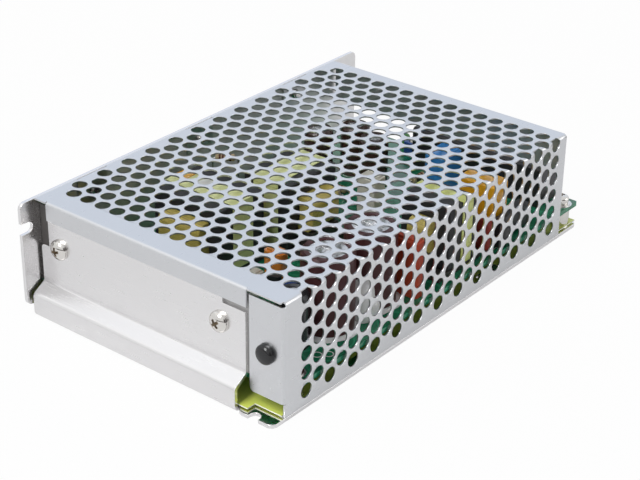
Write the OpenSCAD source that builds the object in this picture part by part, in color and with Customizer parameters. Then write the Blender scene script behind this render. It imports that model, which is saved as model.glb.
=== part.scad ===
// Enclosed dc-dc converter: folded chassis, perforated cover, board with its parts.
// Millimetres. X across the width, Y along the length towards the terminals, Z up.
// The origin is at the bottom centre of the enclosure.

/* [Enclosure] */
// Overall width, from the chassis wall to the cover's side
body_w = 97; // [92:0.5:110]
// Overall length over the mounting ears
body_l = 159; // [152:0.5:180]
// Overall height
body_h = 38; // [36:0.5:48]

/* [Chassis sheet] */
// Thickness of the aluminium sheet
chassis_t = 1.2; // [1:0.1:2]
// Inside bend radius of the aluminium sheet
chassis_r = 0.8; // [0.5:0.1:1.4]
// End panel's outer face behind the front ears
panel_setback = 6.3; // [5:0.1:8]
// Lip's outer face behind the front ears
lip_setback = 1.5; // [1:0.1:3]
// Height at which the lip turns inwards
lip_z = 7.8; // [6:0.1:10]
// Slope of the turned part of the lip, in degrees
lip_slope = 31; // [25:1:45]
// Gap between the end panel's free edge and the cover's side flange
panel_flange_gap = 1.8; // [1.4:0.1:4]
// Gap between the end panel and the wall
panel_wall_gap = 1; // [0.3:0.05:1.5]
// Height of the step in the end panel's edge at the wall
panel_step_z = 23.2; // [18:0.1:28]
// Depth of that step
panel_step = 3.4; // [2:0.1:6]
// Corner radius below that step
panel_step_r = 1.5; // [0.5:0.1:2]
// Clearance of the end panel's top edge below the cover
panel_top_gap = 1.5; // [0.8:0.1:4]
// Width of the notch in the end panel's top corner
panel_notch_w = 8.3; // [4:0.1:12]
// How far that notch reaches below the cover's strip
panel_notch_drop = 2; // [0.5:0.1:4]
// Base's free edge inside the cover's outer face
base_inset = 0.5; // [0.2:0.1:0.8]
// Width of the open mounting slots
ear_slot_w = 3.6; // [3.2:0.1:4.5]
// Depth of the open mounting slots
ear_slot_d = 4.3; // [3.5:0.1:6]
// Wall slots below the top
wall_slot_drop = 8.5; // [6:0.1:12]
// Base ear's front edge behind the wall's front ear
base_ear_back = 1.7; // [0.5:0.1:2]
// Base slot in from the cover's side
base_slot_side = 7.6; // [6:0.1:9]
// Free lower end of the wall's front ear
ear_free_z = 3.8; // [3:0.1:6]
// Corner radius of the ears
ear_r = 2.2; // [1:0.1:3]
// Length of the tongues that hold the cover's hem
tongue_l = 9; // [5:0.5:14]
// Width of the window that a tongue is bent up from
tongue_w = 3; // [2:0.1:4]
// Diameter of the tapped holes in the base
mount_d = 3; // [2.5:0.1:4]
// Distance between the tapped holes across the width
mount_x = 72; // [50:0.5:74]
// Distance between the tapped holes along the length
mount_y = 110; // [80:0.5:114]

/* [Cover sheet] */
// Thickness of the steel sheet
cover_t = 0.5; // [0.4:0.1:1]
// Inside bend radius of the steel sheet
cover_r = 0.6; // [0.4:0.1:1.2]
// Length of the terminal end that the cover leaves open
cover_rear = 11.5; // [8:0.1:16]
// Gap between the cover and the chassis wall
cover_wall_gap = 0.05; // [0.02:0.01:0.2]
// Height of the front strip
strip_h = 6; // [4:0.1:8]
// Left end of the front strip, in from the wall
strip_left = 4.5; // [3:0.1:7]
// Gap between the front strip and the side flange
strip_gap = 1.1; // [0.6:0.1:2]
// Width of the front side flange
side_flange_w = 12.2; // [10:0.1:13]
// Lower end of the front side flange
side_flange_z = 6.2; // [4.5:0.1:9]
// Gap between that flange and the top sheet
side_flange_gap = 0.9; // [0.3:0.05:1.2]
// Corner radius of that flange
side_flange_r = 1.1; // [0.6:0.1:2]
// Front edge of the side below that flange, behind the cover's front face
side_toe = 0.4; // [0.2:0.1:1]
// Height of the rear flange
rear_flange_h = 14.2; // [8:0.1:14.6]
// Rear flange's ends, in from the wall and the side
rear_flange_end = 0.6; // [0.5:0.1:4]
// Width of the hem on the base
hem_w = 2.6; // [2.2:0.1:4]
// Height of the tabs that are screwed to the wall
wall_tab_h = 9; // [7.5:0.1:12]
// Length of those tabs
wall_tab_l = 12; // [8:0.5:20]
// Inside bend radius of those tabs
wall_tab_r = 0.1; // [0.05:0.05:0.6]
// Width of the slits beside the folds
slit_w = 0.25; // [0.2:0.05:0.5]

/* [Perforation] */
// Distance between hole centres
hole_pitch = 6; // [5.4:0.1:8]
// Hole diameter
hole_d = 4.7; // [3:0.1:4.9]
// Outermost top holes, in from the side's face
hole_side = 2.3; // [2:0.1:4]
// Holes on the bend, below the top face
hole_bend = 1.6; // [1.2:0.1:2.4]
// First row, back from the cover's front face
hole_front = 9.7; // [7:0.1:14]
// Least margin of the last row
hole_rear = 7; // [5:0.1:12]
// Least margin of the holes at the wall
hole_wall = 3; // [2.6:0.1:8]
// Least height of the side holes above the base's underside
hole_low = 6; // [5.6:0.1:10]

/* [Fasteners] */
// Thread diameter of the cover, board and device screws
screw_d = 3; // [2.5:0.1:3.5]
// Clearance around a screw, on the radius
screw_gap = 0.15; // [0.1:0.05:0.3]
// Head diameter of the pan screws
pan_d = 6.4; // [6:0.1:7.5]
// Head height of the pan screws
pan_h = 2.5; // [1.8:0.1:3]
// Head diameter of the countersunk cover screws
flat_d = 5.4; // [4.6:0.1:6]
// Cover screws below the top
cover_screw_drop = 5.2; // [4.6:0.1:6]
// Distance between the outer cover screws
cover_screw_span = 96; // [60:1:110]
// Rivet's head diameter
rivet_d = 6.1; // [5:0.1:8]
// Rivet's head height
rivet_h = 2.2; // [1.5:0.1:3]
// Rivet's shank diameter
rivet_shank = 3.4; // [2.5:0.1:4]
// Rivet's height above the underside
rivet_z = 20.4; // [14:0.1:28]

/* [Board] */
// Height of the board's standoffs
board_lift = 6.1; // [5:0.1:8]
// Board thickness
board_t = 1.6; // [1:0.1:2]
// Board's edge clear of the end panel
board_front_gap = 1.5; // [0.8:0.1:3]
// Board's edge clear of the cover's side
board_side_gap = 0.6; // [0.3:0.05:1]
// Chamfer on the board's rear corners
board_c = 0.4; // [0.2:0.1:2]
// Board's edge clear of the wall
board_wall_gap = 1.8; // [1.2:0.1:3]
// Standoff diameter
standoff_d = 6; // [5:0.1:7]
// Standoff's stem in the base
stem_d = 4; // [3.4:0.1:4.6]
// Front standoffs in from the board's long edges
standoff_x = 5; // [4.8:0.1:7]
// Front standoffs in from the board's front edge
standoff_y = 8.2; // [7.6:0.1:12]
// Rear standoffs in from the board's long edges
standoff_rear_x = 3.4; // [3.2:0.1:6]
// Rear standoffs in from the board's rear edge
standoff_rear_y = 4.8; // [3.6:0.1:6]
// Insulating sheet thickness
sheet_t = 0.4; // [0.2:0.05:0.6]
// Insulating sheet's clearance all round
sheet_gap = 0.5; // [0.3:0.1:1]
// Width of the sheet's front cut-out at the base ear
sheet_cut_w = 9.6; // [8:0.1:12]
// Depth of that cut-out
sheet_cut_d = 3.2; // [2:0.1:5]

/* [Power devices] */
// Screw height on the end panel
device_z = 23.7; // [22:0.1:27]
// First device, in from the wall
device_left = 8; // [7.5:0.1:14]
// Second device, in from the panel's free edge
device_right = 9.4; // [8.8:0.1:14]
// Device width
device_w = 10; // [8:0.1:12]
// Body length below the tab
device_l = 9.2; // [8:0.1:10]
// Tab's length above the body
device_tab_l = 6.2; // [5.6:0.1:7]
// Tab thickness
device_tab_t = 1.3; // [1:0.1:1.6]
// Body thickness
device_t = 4.4; // [4:0.1:5]
// Insulating pad thickness
pad_t = 0.25; // [0.15:0.05:0.4]
// Insulating pads' reach beside the screws
pad_w = 9; // [6:0.1:12]
// Insulating pads' reach past the panel's edge, and their gap to the wall
pad_over = 1.3; // [0:0.1:1.5]
pad_wall_gap = 0.05; // [0.05:0.05:1]
// Insulating pads' top edge below the cover
pad_drop = 1.8; // [1.6:0.1:9]

/* [Terminals] */
// Distance between terminals
term_pitch = 10; // [9:0.1:10.2]
// Thickness of the barriers
barrier_t = 1.6; // [1.2:0.1:2]
// Block's depth along the length
block_d = 12.6; // [12:0.1:13]
// Block's clearance under the cover's rear flange
block_drop = 0.6; // [0.4:0.1:3]
// Height of the terminal deck over the board
deck_h = 5.2; // [5:0.1:6]
// Thickness of the block's back wall
block_wall = 3; // [2.4:0.1:3.4]
// Block's end, in from the board's right edge
block_right = 7.4; // [7:0.1:12]
// Terminal plate thickness
plate_t = 0.8; // [0.6:0.1:1]
// Terminal screw diameter
term_screw_d = 3; // [2.5:0.1:3.4]
// Clearance of the terminal screw, on the radius
term_gap = 0.3; // [0.2:0.05:0.4]
// Terminal screw's head diameter
term_head_d = 5.8; // [5:0.1:6]
// Terminal screw's head height
term_head_h = 2; // [1.6:0.1:2.4]
// Clamp washer's side
clamp_w = 6.6; // [6:0.1:7]
// Clamp washer's thickness
clamp_t = 0.8; // [0.6:0.1:1]
// Terminal screw's length under the washer
term_screw_l = 4.8; // [4:0.1:5]
// Trimmer's side
trim_w = 6.4; // [5.6:0.1:6.8]
// Trimmer's height
trim_h = 5; // [4:0.1:7]
// Trimmer rotor's diameter
trim_rotor_d = 4.4; // [3.6:0.1:4.8]
// Clearance of the rotor, on the radius
trim_gap = 0.3; // [0.2:0.05:0.4]
// Lamp's diameter
lamp_d = 3; // [2:0.1:4]

/* [Wound parts] */
// Tape thickness
tape_t = 0.3; // [0.1:0.05:0.5]
// Bobbin's foot under a core
foot_h = 2; // [1:0.1:3]
// Clearance of the windings in the cores
coil_gap = 0.2; // [0.1:0.05:0.4]
// Yoke and leg thickness of the cores
yoke_t = 5; // [3.5:0.1:5.5]
// Transformer core's length
main_u = 23.4; // [20:0.1:26]
// Transformer core's thickness
main_w = 18; // [12:0.1:18.5]
// Transformer core's clearance below the cover
main_drop = 4.7; // [3:0.1:10]
// Belt width on the transformer
main_belt = 10; // [4:0.1:11]
// Winding's bulge beyond the transformer core
main_bulge = 5.5; // [3:0.1:6]
// Output choke core's length
choke_u = 27.4; // [22:0.1:29]
// Output choke core's thickness
choke_w = 20; // [14:0.1:20.4]
// Output choke core's clearance below the cover
choke_drop = 4.7; // [3:0.1:10]
// Belt width on the output choke
choke_belt = 9; // [4:0.1:11]
// Winding's bulge beyond the output choke core
choke_bulge = 4; // [2:0.1:4.2]
// Input choke core's length
filter_u = 18.2; // [15:0.1:19]
// Input choke core's thickness
filter_w = 13.6; // [10:0.1:14]
// Input choke core's clearance below the cover
filter_drop = 5.2; // [3:0.1:10]
// Belt width on the input choke
filter_belt = 5.4; // [3:0.1:8]
// Belt's place on the input choke, back from the middle
filter_belt_back = 2.4; // [0:0.1:3]
// Winding's bulge beyond the input choke core
filter_bulge = 4.4; // [2:0.1:5]

/* [Other parts] */
// Diameter of the two large capacitors
bulk_d = 16; // [12:0.1:16.6]
// Diameter of the glue bead between them
glue_d = 7.5; // [6:0.1:8]
// Height of the glue bead's upright part
glue_h = 9; // [6:0.5:14]
// Distance between the large capacitors
bulk_pitch = 20; // [17.5:0.1:20.4]
// Large capacitors' clearance below the cover
bulk_drop = 3; // [1.5:0.1:12]
// Thickness of the capacitors' sleeves
sleeve_t = 0.3; // [0.2:0.05:0.5]
// Width of the sleeves' edge turned in over the cans
sleeve_turn = 1.5; // [0.8:0.1:2.5]
// Diameter of the small capacitors
small_d = 10; // [8:0.1:10.5]
// Height of the small capacitors
small_h = 17; // [10:0.5:18]
// Blue capacitor's height
blue_h = 20; // [12:0.5:22]
// Amber capacitor's height
amber_h = 22; // [14:0.5:23]
// Red capacitor's height
red_h = 19.5; // [12:0.5:21]
// Height of the taller of the ceramic parts
ceramic_h = 21; // [12:0.5:22]
// Orange part's height
orange_h = 15; // [8:0.5:17]
// Orange part's body above the board
orange_lift = 4.5; // [0.5:0.5:6]
// Small disc's diameter
disc_d = 9; // [6:0.1:11]
// Fuse diameter
fuse_d = 5.2; // [4:0.1:6]
// Fuse length
fuse_l = 20; // [16:0.5:24]

/* [Hidden] */
$fn = 48;
eps = 0.5;

// Enclosure planes
x_wall = -body_w / 2;
x_side = body_w / 2;
y_front = -body_l / 2;
y_rear = body_l / 2;
wall_in = x_wall + chassis_t;
side_in = x_side - cover_t;
roof = body_h - cover_t;
bend_o = chassis_r + chassis_t;
fold_o = cover_r + cover_t;
tab_o = wall_tab_r + cover_t;

// End panel and lip
panel_y = y_front + panel_setback;
panel_in = panel_y + chassis_t;
panel_x0 = wall_in + panel_wall_gap;
panel_top = roof - panel_top_gap;
lip_y = y_front + lip_setback;
lip_turn = 90 - lip_slope;
lip_bend_z = lip_z - bend_o * tan(lip_turn / 2);
slope_y0 = lip_y + bend_o - bend_o * cos(lip_turn);
slope_z0 = lip_bend_z + bend_o * sin(lip_turn);
slope_y1 = panel_y - chassis_r + chassis_r * cos(lip_turn);
slope_z1 = slope_z0 + (slope_y1 - slope_y0) * tan(lip_slope);
panel_z0 = slope_z1 + chassis_r * sin(lip_turn);
panel_x1 = x_side - side_flange_w - panel_flange_gap;
base_x1 = x_side - base_inset;
relief_w = 0.25;
ear_y = y_front + base_ear_back;
mount_shift = 4;
mount_pts = [for (x = [-mount_x, mount_x] / 2) for (y = [-mount_y, mount_y] / 2) [x, y + mount_shift]];
collar_h = cover_t - 0.1;

// Cover
cover_y0 = panel_y - cover_t;
cover_y1 = y_rear - cover_rear;
cover_x0 = wall_in + cover_wall_gap;
strip_x0 = wall_in + strip_left;
flange_x0 = x_side - side_flange_w;
strip_x1 = flange_x0 - strip_gap;
strip_z0 = body_h - strip_h;
rear_z0 = body_h - rear_flange_h;
hem_x0 = x_side - hem_w;
rivet_x = flange_x0 + side_flange_w / 2;

// Perforation: staggered rows, the same lattice on the top and on down the side
row_step = hole_pitch * sqrt(3) / 2;
hole_rows = floor((cover_y1 - cover_y0 - hole_front - hole_rear) / row_step) + 1;
top_count = floor((x_side - hole_side - cover_x0 - hole_wall) / hole_pitch) + 1;
side_steps = floor((body_h - hole_bend - hole_low) / (hole_pitch / 2));
function row_y(b) = cover_y0 + hole_front + b * row_step;
function odd(b) = b % 2 == 0;

// Board
base_top = chassis_t;
board_z0 = base_top + board_lift;
board_z1 = board_z0 + board_t;
board_x0 = wall_in + board_wall_gap;
board_x1 = side_in - board_side_gap;
board_y0 = panel_in + board_front_gap;
board_y1 = y_rear;
board_mid = (board_y0 + board_y1) / 2;
function xl(d) = board_x0 + d;
function xr(d) = board_x1 - d;
standoff_pts = [
  [xl(standoff_x), board_y0 + standoff_y], [xr(standoff_x), board_y0 + standoff_y],
  [xl(standoff_rear_x), board_y1 - standoff_rear_y], [xr(standoff_rear_x), board_y1 - standoff_rear_y]
];
screw_r = screw_d / 2;
hole_r = screw_r + screw_gap;
washer_t = 1.2;
board_screw_l = board_t + washer_t + 4;
sheet_z = base_top + cover_t;
tongue_ys = [board_mid - 0.3 * (board_y1 - board_y0), board_mid + 0.17 * (board_y1 - board_y0)];
tongue_x = hem_x0 - 0.2 - chassis_t;
tongue_z = sheet_z + 0.05;

// Devices
device_xs = [panel_x0 + device_left, panel_x1 - device_right];
device_y0 = panel_in + pad_t;
device_y1 = device_y0 + device_tab_t;
body_z1 = device_z - 3.4;
body_z0 = body_z1 - device_l;
nut_h = 2.4;
end_screw_l = chassis_t + pad_t + device_tab_t + nut_h + 1;

// Terminals
term_n = 5;
block_h = rear_z0 - block_drop - board_z1;
block_x1 = xr(block_right);
block_w = term_n * term_pitch + barrier_t;
block_x0 = block_x1 - block_w;
block_y1 = board_y1 - 0.5;
block_y0 = block_y1 - block_d;
deck_z = board_z1 + deck_h;
deck_y = (block_y0 + block_wall + block_y1) / 2;
plate_z = deck_z + plate_t;
function term_x(i) = block_x0 + barrier_t / 2 + (i + 0.5) * term_pitch;
trim_x = block_x0 - 0.9 - trim_w / 2;
trim_y = block_y1 - 1.2 - trim_w / 2;
trim_pocket = 1.6;
lamp_x = trim_x - trim_w / 2 - 1.2 - lamp_d / 2;
lamp_y = block_y1 - 1 - lamp_d / 2;

// Wound parts: middle of each core
core_z = board_z1 + foot_h + tape_t;
main_c = [xl(34.9), board_mid - 5];
choke_c = [xl(25.5), board_mid - 32.5];
filter_c = [xr(12.1), board_mid + 10.9];
main_h = roof - main_drop - core_z;
choke_h = roof - choke_drop - core_z;
filter_h = roof - filter_drop - core_z;

// Other parts
bulk_c = [xr(13.4), board_mid - 31.5];
bulk_ys = [bulk_c[1] - bulk_pitch / 2, bulk_c[1] + bulk_pitch / 2];
bulk_z1 = roof - bulk_drop;
small_pts = [
  [xl(21.5), board_y1 - 29.5], [xl(32.5), board_y1 - 33.5], [xl(14), board_y1 - 40],
  [xr(14.9), board_y0 + 19.5]
];
blue_c = [xr(33.7), board_y1 - 31];
amber_c = [xr(10.4), board_mid + 32.5];
red_c = [xr(7.4), board_mid - 10.9];
ceramic_c = [xl(54), board_mid + 12];
film_c = [xr(41.9), board_y0 + 34];
orange_c = [xr(37.4), board_y0 + 38.9];
disc_c = [xr(25.8), board_y0 + 31.2];
chip_c = [xl(12), board_mid - 2];
fuse_c = [xl(5.5), board_mid + 18];

// Extrudes a Y-Z profile along X
module along_x(x0, x1) {
  translate([x0, 0, 0]) rotate([90, 0, 90]) linear_extrude(height = x1 - x0) children();
}

// Extrudes an X-Z profile along Y
module along_y(y0, y1) {
  translate([0, y1, 0]) rotate([90, 0, 0]) linear_extrude(height = y1 - y0) children();
}

// Box between two corners
module box(a, b) {
  translate(a) cube([b[0] - a[0], b[1] - a[1], b[2] - a[2]]);
}

// Quarter ring of sheet: ro outside, ri inside, in the quadrant given by the signs
module fold2d(ri, ro, sx, sy) {
  difference() {
    intersection() {
      circle(r = ro);
      translate([sx > 0 ? 0 : -ro, sy > 0 ? 0 : -ro]) square(ro);
    }
    circle(r = ri);
  }
}

// Rounded rectangle
module round_rect(w, l, r) {
  union() {
    translate([-w / 2 + r, -l / 2]) square([w - 2 * r, l]);
    translate([-w / 2, -l / 2 + r]) square([w, l - 2 * r]);
    for (x = [-1, 1])
      for (y = [-1, 1])
        translate([x * (w / 2 - r), y * (l / 2 - r)]) circle(r = r);
  }
}

function arc_pts(c, r, a0, a1, n) =
  [for (i = [0:n]) let (a = a0 + (a1 - a0) * i / n) [c[0] + r * cos(a), c[1] + r * sin(a)]];

// Lip and end panel as one bent strip, in Y and Z
module lip_profile() {
  foot = [lip_y + bend_o, bend_o];
  knee = [lip_y + bend_o, lip_bend_z];
  heel = [panel_y - chassis_r, panel_z0];
  tail = panel_in + bend_o;
  polygon(concat(
    [[tail, 0]],
    arc_pts(foot, bend_o, 270, 180, 8),
    arc_pts(knee, bend_o, 180, 180 - lip_turn, 6),
    arc_pts(heel, chassis_r, -lip_turn, 0, 6),
    [[panel_y, panel_top], [panel_in, panel_top]],
    arc_pts(heel, bend_o, 0, -lip_turn, 6),
    arc_pts(knee, chassis_r, 180 - lip_turn, 180, 6),
    arc_pts(foot, chassis_r, 180, 270, 8),
    [[tail, chassis_t]]
  ));
}

// Open mounting slot along -Y, d deep, its mouth at y = 0
module slot2d(d) {
  r = ear_slot_w / 2;
  union() {
    translate([-r, -eps]) square([ear_slot_w, d - r + eps]);
    translate([0, d - r]) circle(r = r);
  }
}

// Rectangle with its two corners at y = 0 rounded
module ear2d(w, l) {
  union() {
    translate([ear_r, 0]) square([w - 2 * ear_r, l]);
    translate([0, ear_r]) square([w, l - ear_r]);
    for (x = [ear_r, w - ear_r]) translate([x, ear_r]) circle(r = ear_r);
  }
}

// Flat of the base, with the front ear and the windows of the tongues
module base_flat() {
  ear_x0 = panel_x1 + relief_w;
  ear_in = panel_in + bend_o;
  linear_extrude(height = chassis_t) difference() {
    union() {
      translate([x_wall + bend_o, ear_in]) square([base_x1 - x_wall - bend_o, y_rear - ear_r - ear_in]);
      translate([ear_x0, ear_y]) ear2d(base_x1 - ear_x0, ear_in - ear_y + eps);
      translate([base_x1, y_rear]) rotate(180) ear2d(base_x1 - x_wall - bend_o, ear_r + eps);
    }
    translate([x_side - base_slot_side, ear_y]) slot2d(ear_slot_d - base_ear_back);
    for (y = tongue_ys)
      translate([tongue_x - tongue_w, y - tongue_l / 2]) square([tongue_w, tongue_l]);
  }
}

// Base with the holes for the standoffs and the tapped, collared mounting holes
module base_sheet() {
  difference() {
    union() {
      base_flat();
      for (p = mount_pts) translate([p[0], p[1], chassis_t - 0.1]) cylinder(d = mount_d + 1.6, h = collar_h + 0.1);
    }
    for (p = standoff_pts) translate([p[0], p[1], -eps]) cylinder(d = stem_d, h = chassis_t + 2 * eps);
    for (p = mount_pts) translate([p[0], p[1], -eps]) cylinder(d = mount_d, h = chassis_t + collar_h + 2 * eps);
  }
}

// Punched tongue that grips the cover's hem
module tongue(y) {
  box([tongue_x, y - tongue_l / 2, 0], [tongue_x + chassis_t, y + tongue_l / 2, tongue_z + chassis_t]);
  box([tongue_x, y - tongue_l / 2, tongue_z], [hem_x0 + 1.2, y + tongue_l / 2, tongue_z + chassis_t]);
}

module wall_sheet() {
  slot_z = body_h - wall_slot_drop;
  wall_y0 = panel_in + bend_o;
  difference() {
    union() {
      along_y(wall_y0, y_rear) union() {
        translate([x_wall + bend_o, bend_o]) fold2d(chassis_r, bend_o, -1, -1);
        translate([x_wall, bend_o]) square([chassis_t, body_h - ear_r - bend_o]);
      }
      along_x(x_wall, wall_in) translate([y_front, body_h]) rotate(-90)
        ear2d(body_h - ear_free_z, wall_y0 - y_front + eps);
      along_x(x_wall, wall_in) translate([wall_y0, body_h - 2 * ear_r]) square([y_rear - wall_y0 - ear_r, 2 * ear_r]);
      along_x(x_wall, wall_in) translate([y_rear - ear_r, body_h - ear_r]) circle(r = ear_r);
    }
    along_x(x_wall - eps, wall_in + eps) union() {
      translate([y_front, slot_z]) rotate(-90) slot2d(ear_slot_d);
      translate([y_rear, slot_z]) rotate(90) slot2d(ear_slot_d);
    }
    for (y = cover_screw_ys()) translate([x_wall, y, body_h - cover_screw_drop]) rotate([0, 90, 0])
      flat_hole();
  }
}

function cover_screw_ys() = [for (i = [-1:1]) (cover_y0 + cover_y1) / 2 + i * cover_screw_span / 2];

// Countersunk hole through the wall, its wide end at z = 0
module flat_hole() {
  translate([0, 0, -eps]) cylinder(r = hole_r, h = chassis_t + 2 * eps);
  cylinder(r1 = flat_d / 2 + screw_gap, r2 = hole_r, h = chassis_t);
}

module chassis() {
  color([0.85, 0.85, 0.86]) union() {
    base_sheet();
    wall_sheet();
    difference() {
      along_x(panel_x0, panel_x1) lip_profile();
      box([panel_x0 - eps, panel_y - eps, panel_step_z], [panel_x0 + panel_step, panel_in + eps, body_h]);
      difference() {
        box([panel_x0 - eps, panel_y - eps, panel_step_z - panel_step_r],
          [panel_x0 + panel_step_r, panel_in + eps, panel_step_z + eps]);
        translate([panel_x0 + panel_step_r, panel_y - 2 * eps, panel_step_z - panel_step_r]) rotate([-90, 0, 0])
          cylinder(r = panel_step_r, h = chassis_t + 4 * eps);
      }
      box([panel_x1 - panel_notch_w, panel_y - eps, strip_z0 - panel_notch_drop],
        [panel_x1 + eps, panel_in + eps, body_h]);
      for (x = device_xs) translate([x, panel_y - eps, device_z]) rotate([-90, 0, 0])
        cylinder(r = hole_r, h = chassis_t + 2 * eps);
    }
    for (y = tongue_ys) tongue(y);
  }
}

// Section of the cover across its width
module cover_section() {
  union() {
    translate([cover_x0, roof]) square([x_side - cover_x0 - fold_o, cover_t]);
    translate([x_side - fold_o, body_h - fold_o]) fold2d(cover_r, fold_o, 1, 1);
    translate([side_in, base_top + fold_o]) square([cover_t, body_h - base_top - 2 * fold_o]);
    translate([x_side - fold_o, base_top + fold_o]) fold2d(cover_r, fold_o, 1, -1);
    translate([hem_x0, base_top]) square([hem_w - fold_o, cover_t]);
  }
}

// Flange folded down from the front (dir = 1) or the rear (dir = -1) edge of the top
module end_flange(y, dir, z0) {
  translate([y, 0]) mirror([dir > 0 ? 0 : 1, 0]) union() {
    translate([fold_o, body_h - fold_o]) fold2d(cover_r, fold_o, -1, 1);
    translate([0, z0]) square([cover_t, body_h - fold_o - z0]);
    translate([fold_o, roof]) square([eps, cover_t]);
  }
}

module cover_folds() {
  edge_y0 = cover_y0 + fold_o;
  edge_y1 = cover_y1 - fold_o;
  union() {
    difference() {
      along_y(edge_y0, edge_y1) cover_section();
      for (y = cover_screw_ys())
        box([cover_x0 - eps, y - wall_tab_l / 2 - slit_w, roof - eps],
          [cover_x0 + tab_o, y + wall_tab_l / 2 + slit_w, body_h + eps]);
    }
    for (y = cover_screw_ys()) along_y(y - wall_tab_l / 2, y + wall_tab_l / 2) union() {
      translate([cover_x0 + tab_o, body_h - tab_o]) fold2d(wall_tab_r, tab_o, -1, 1);
      translate([cover_x0, body_h - wall_tab_h]) square([cover_t, wall_tab_h - tab_o]);
      translate([cover_x0 + tab_o, roof]) square([eps, cover_t]);
    }
    box([cover_x0, cover_y0, roof], [strip_x0 - slit_w, edge_y0 + eps, body_h]);
    along_x(strip_x0, strip_x1) end_flange(cover_y0, 1, strip_z0);
    box([strip_x1 + slit_w, cover_y0, roof], [x_side - fold_o, edge_y0 + eps, body_h]);
    along_x(cover_x0 + rear_flange_end, x_side - fold_o - slit_w) end_flange(cover_y1, -1, rear_z0);
    side_flange();
    box([side_in, cover_y0 + side_toe, base_top + fold_o], [x_side, edge_y0 + eps, side_flange_z - slit_w]);
  }
}

// Front flange folded in from the side
module side_flange() {
  z0 = side_flange_z;
  z1 = roof - side_flange_gap;
  r = side_flange_r;
  difference() {
    union() {
      translate([0, 0, z0]) linear_extrude(height = z1 - z0) union() {
        translate([x_side - fold_o, cover_y0 + fold_o]) fold2d(cover_r, fold_o, 1, -1);
        translate([side_in, cover_y0 + fold_o]) square([cover_t, eps]);
      }
      along_y(cover_y0, cover_y0 + cover_t) union() {
        translate([flange_x0 + r, z0]) square([x_side - fold_o - flange_x0 - r, z1 - z0]);
        translate([flange_x0, z0 + r]) square([r, z1 - z0 - r]);
        translate([flange_x0 + r, z0 + r]) circle(r = r);
      }
    }
    translate([rivet_x, cover_y0 - eps, rivet_z]) rotate([-90, 0, 0])
      cylinder(d = rivet_shank + 2 * screw_gap, h = cover_t + 2 * eps);
  }
}

// Holes of the top, the bend and the side
module perforation() {
  r = hole_d / 2;
  half = hole_pitch / 2;
  last_x = x_side - hole_side;
  for (b = [0:hole_rows - 1]) {
    y = row_y(b);
    for (i = [0:top_count - (odd(b) ? 2 : 1)])
      translate([last_x - (odd(b) ? half : 0) - i * hole_pitch, y, body_h - fold_o])
        cylinder(r = r, h = fold_o + eps);
    for (c = [odd(b) ? 0 : 1:2:side_steps])
      translate([x_side - fold_o - (c == 0 ? 0.4 : 0), y, body_h - hole_bend - c * half])
        rotate([0, 90, 0]) cylinder(r = r, h = fold_o + eps);
  }
}

module cover() {
  color([0.74, 0.77, 0.82]) difference() {
    cover_folds();
    perforation();
    for (y = cover_screw_ys())
      translate([cover_x0 - eps, y, body_h - cover_screw_drop]) rotate([0, 90, 0])
        cylinder(r = hole_r, h = cover_t + 2 * eps);
  }
}

module cover_screws() {
  shank = chassis_t + cover_wall_gap + cover_t + 1.5;
  color([0.8, 0.8, 0.78]) for (y = cover_screw_ys())
    translate([x_wall, y, body_h - cover_screw_drop]) rotate([0, 90, 0]) rotate_extrude()
      polygon([[0, 0.05], [flat_d / 2, 0.05], [screw_r, chassis_t - 0.05], [screw_r, shank], [0, shank]]);
}

// Domed head on z = 0, its shank down to -l
module domed(d, h, shank_r, l) {
  rotate_extrude() union() {
    intersection() {
      translate([0, h - dome_r(d, h)]) circle(r = dome_r(d, h));
      square([d / 2, h]);
    }
    translate([0, -l]) square([shank_r, l + 0.2]);
  }
}

function dome_r(d, h) = (d * d / 4 + h * h * 0.7 * 0.7) / (2 * h * 0.7);

module push_rivet() {
  l = cover_t + 3.2;
  color([0.13, 0.13, 0.14]) translate([rivet_x, cover_y0, rivet_z]) rotate([90, 0, 0]) difference() {
    union() {
      domed(rivet_d, rivet_h, rivet_shank / 2, l);
      translate([0, 0, -l]) cylinder(d1 = rivet_shank - 0.6, d2 = rivet_shank + 0.8, h = l - cover_t - 0.1);
    }
    box([-0.4, -rivet_d, -l - eps], [0.4, rivet_d, -cover_t - 0.6]);
  }
}

module end_screws() {
  color([0.83, 0.8, 0.74]) for (x = device_xs)
    translate([x, panel_y, device_z]) rotate([90, 0, 0]) domed(pan_d, pan_h, screw_r, end_screw_l);
}

module end_nuts() {
  color([0.8, 0.78, 0.72]) for (x = device_xs) translate([x, device_y1, device_z]) rotate([-90, 0, 0])
    difference() {
      cylinder(d = 6.3, h = nut_h, $fn = 6);
      translate([0, 0, -eps]) cylinder(r = screw_r + 0.05, h = nut_h + 2 * eps);
    }
}

module insulator_pads() {
  ends = [[wall_in + pad_wall_gap, device_xs[0] + pad_w], [device_xs[1] - pad_w, panel_x1 + pad_over]];
  color([0.42, 0.41, 0.4]) for (i = [0, 1]) difference() {
    box([ends[i][0], panel_in, body_z0 - 1], [ends[i][1], device_y0, roof - pad_drop]);
    translate([device_xs[i], panel_in - eps, device_z]) rotate([-90, 0, 0])
      cylinder(r = hole_r, h = pad_t + 2 * eps);
  }
}

module device_tabs() {
  lead_w = 0.8;
  lead_y = device_y0 + 2.6;
  color([0.75, 0.75, 0.76]) for (x = device_xs) {
    difference() {
      box([x - device_w / 2, device_y0, body_z0], [x + device_w / 2, device_y1, body_z1 + device_tab_l]);
      translate([x, device_y0 - eps, device_z]) rotate([-90, 0, 0])
        cylinder(r = screw_r + 0.3, h = device_tab_t + 2 * eps);
    }
    for (i = [-1:1])
      box([x + i * 2.54 - lead_w / 2, lead_y, board_z1], [x + i * 2.54 + lead_w / 2, lead_y + 0.5, body_z0]);
  }
}

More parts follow.
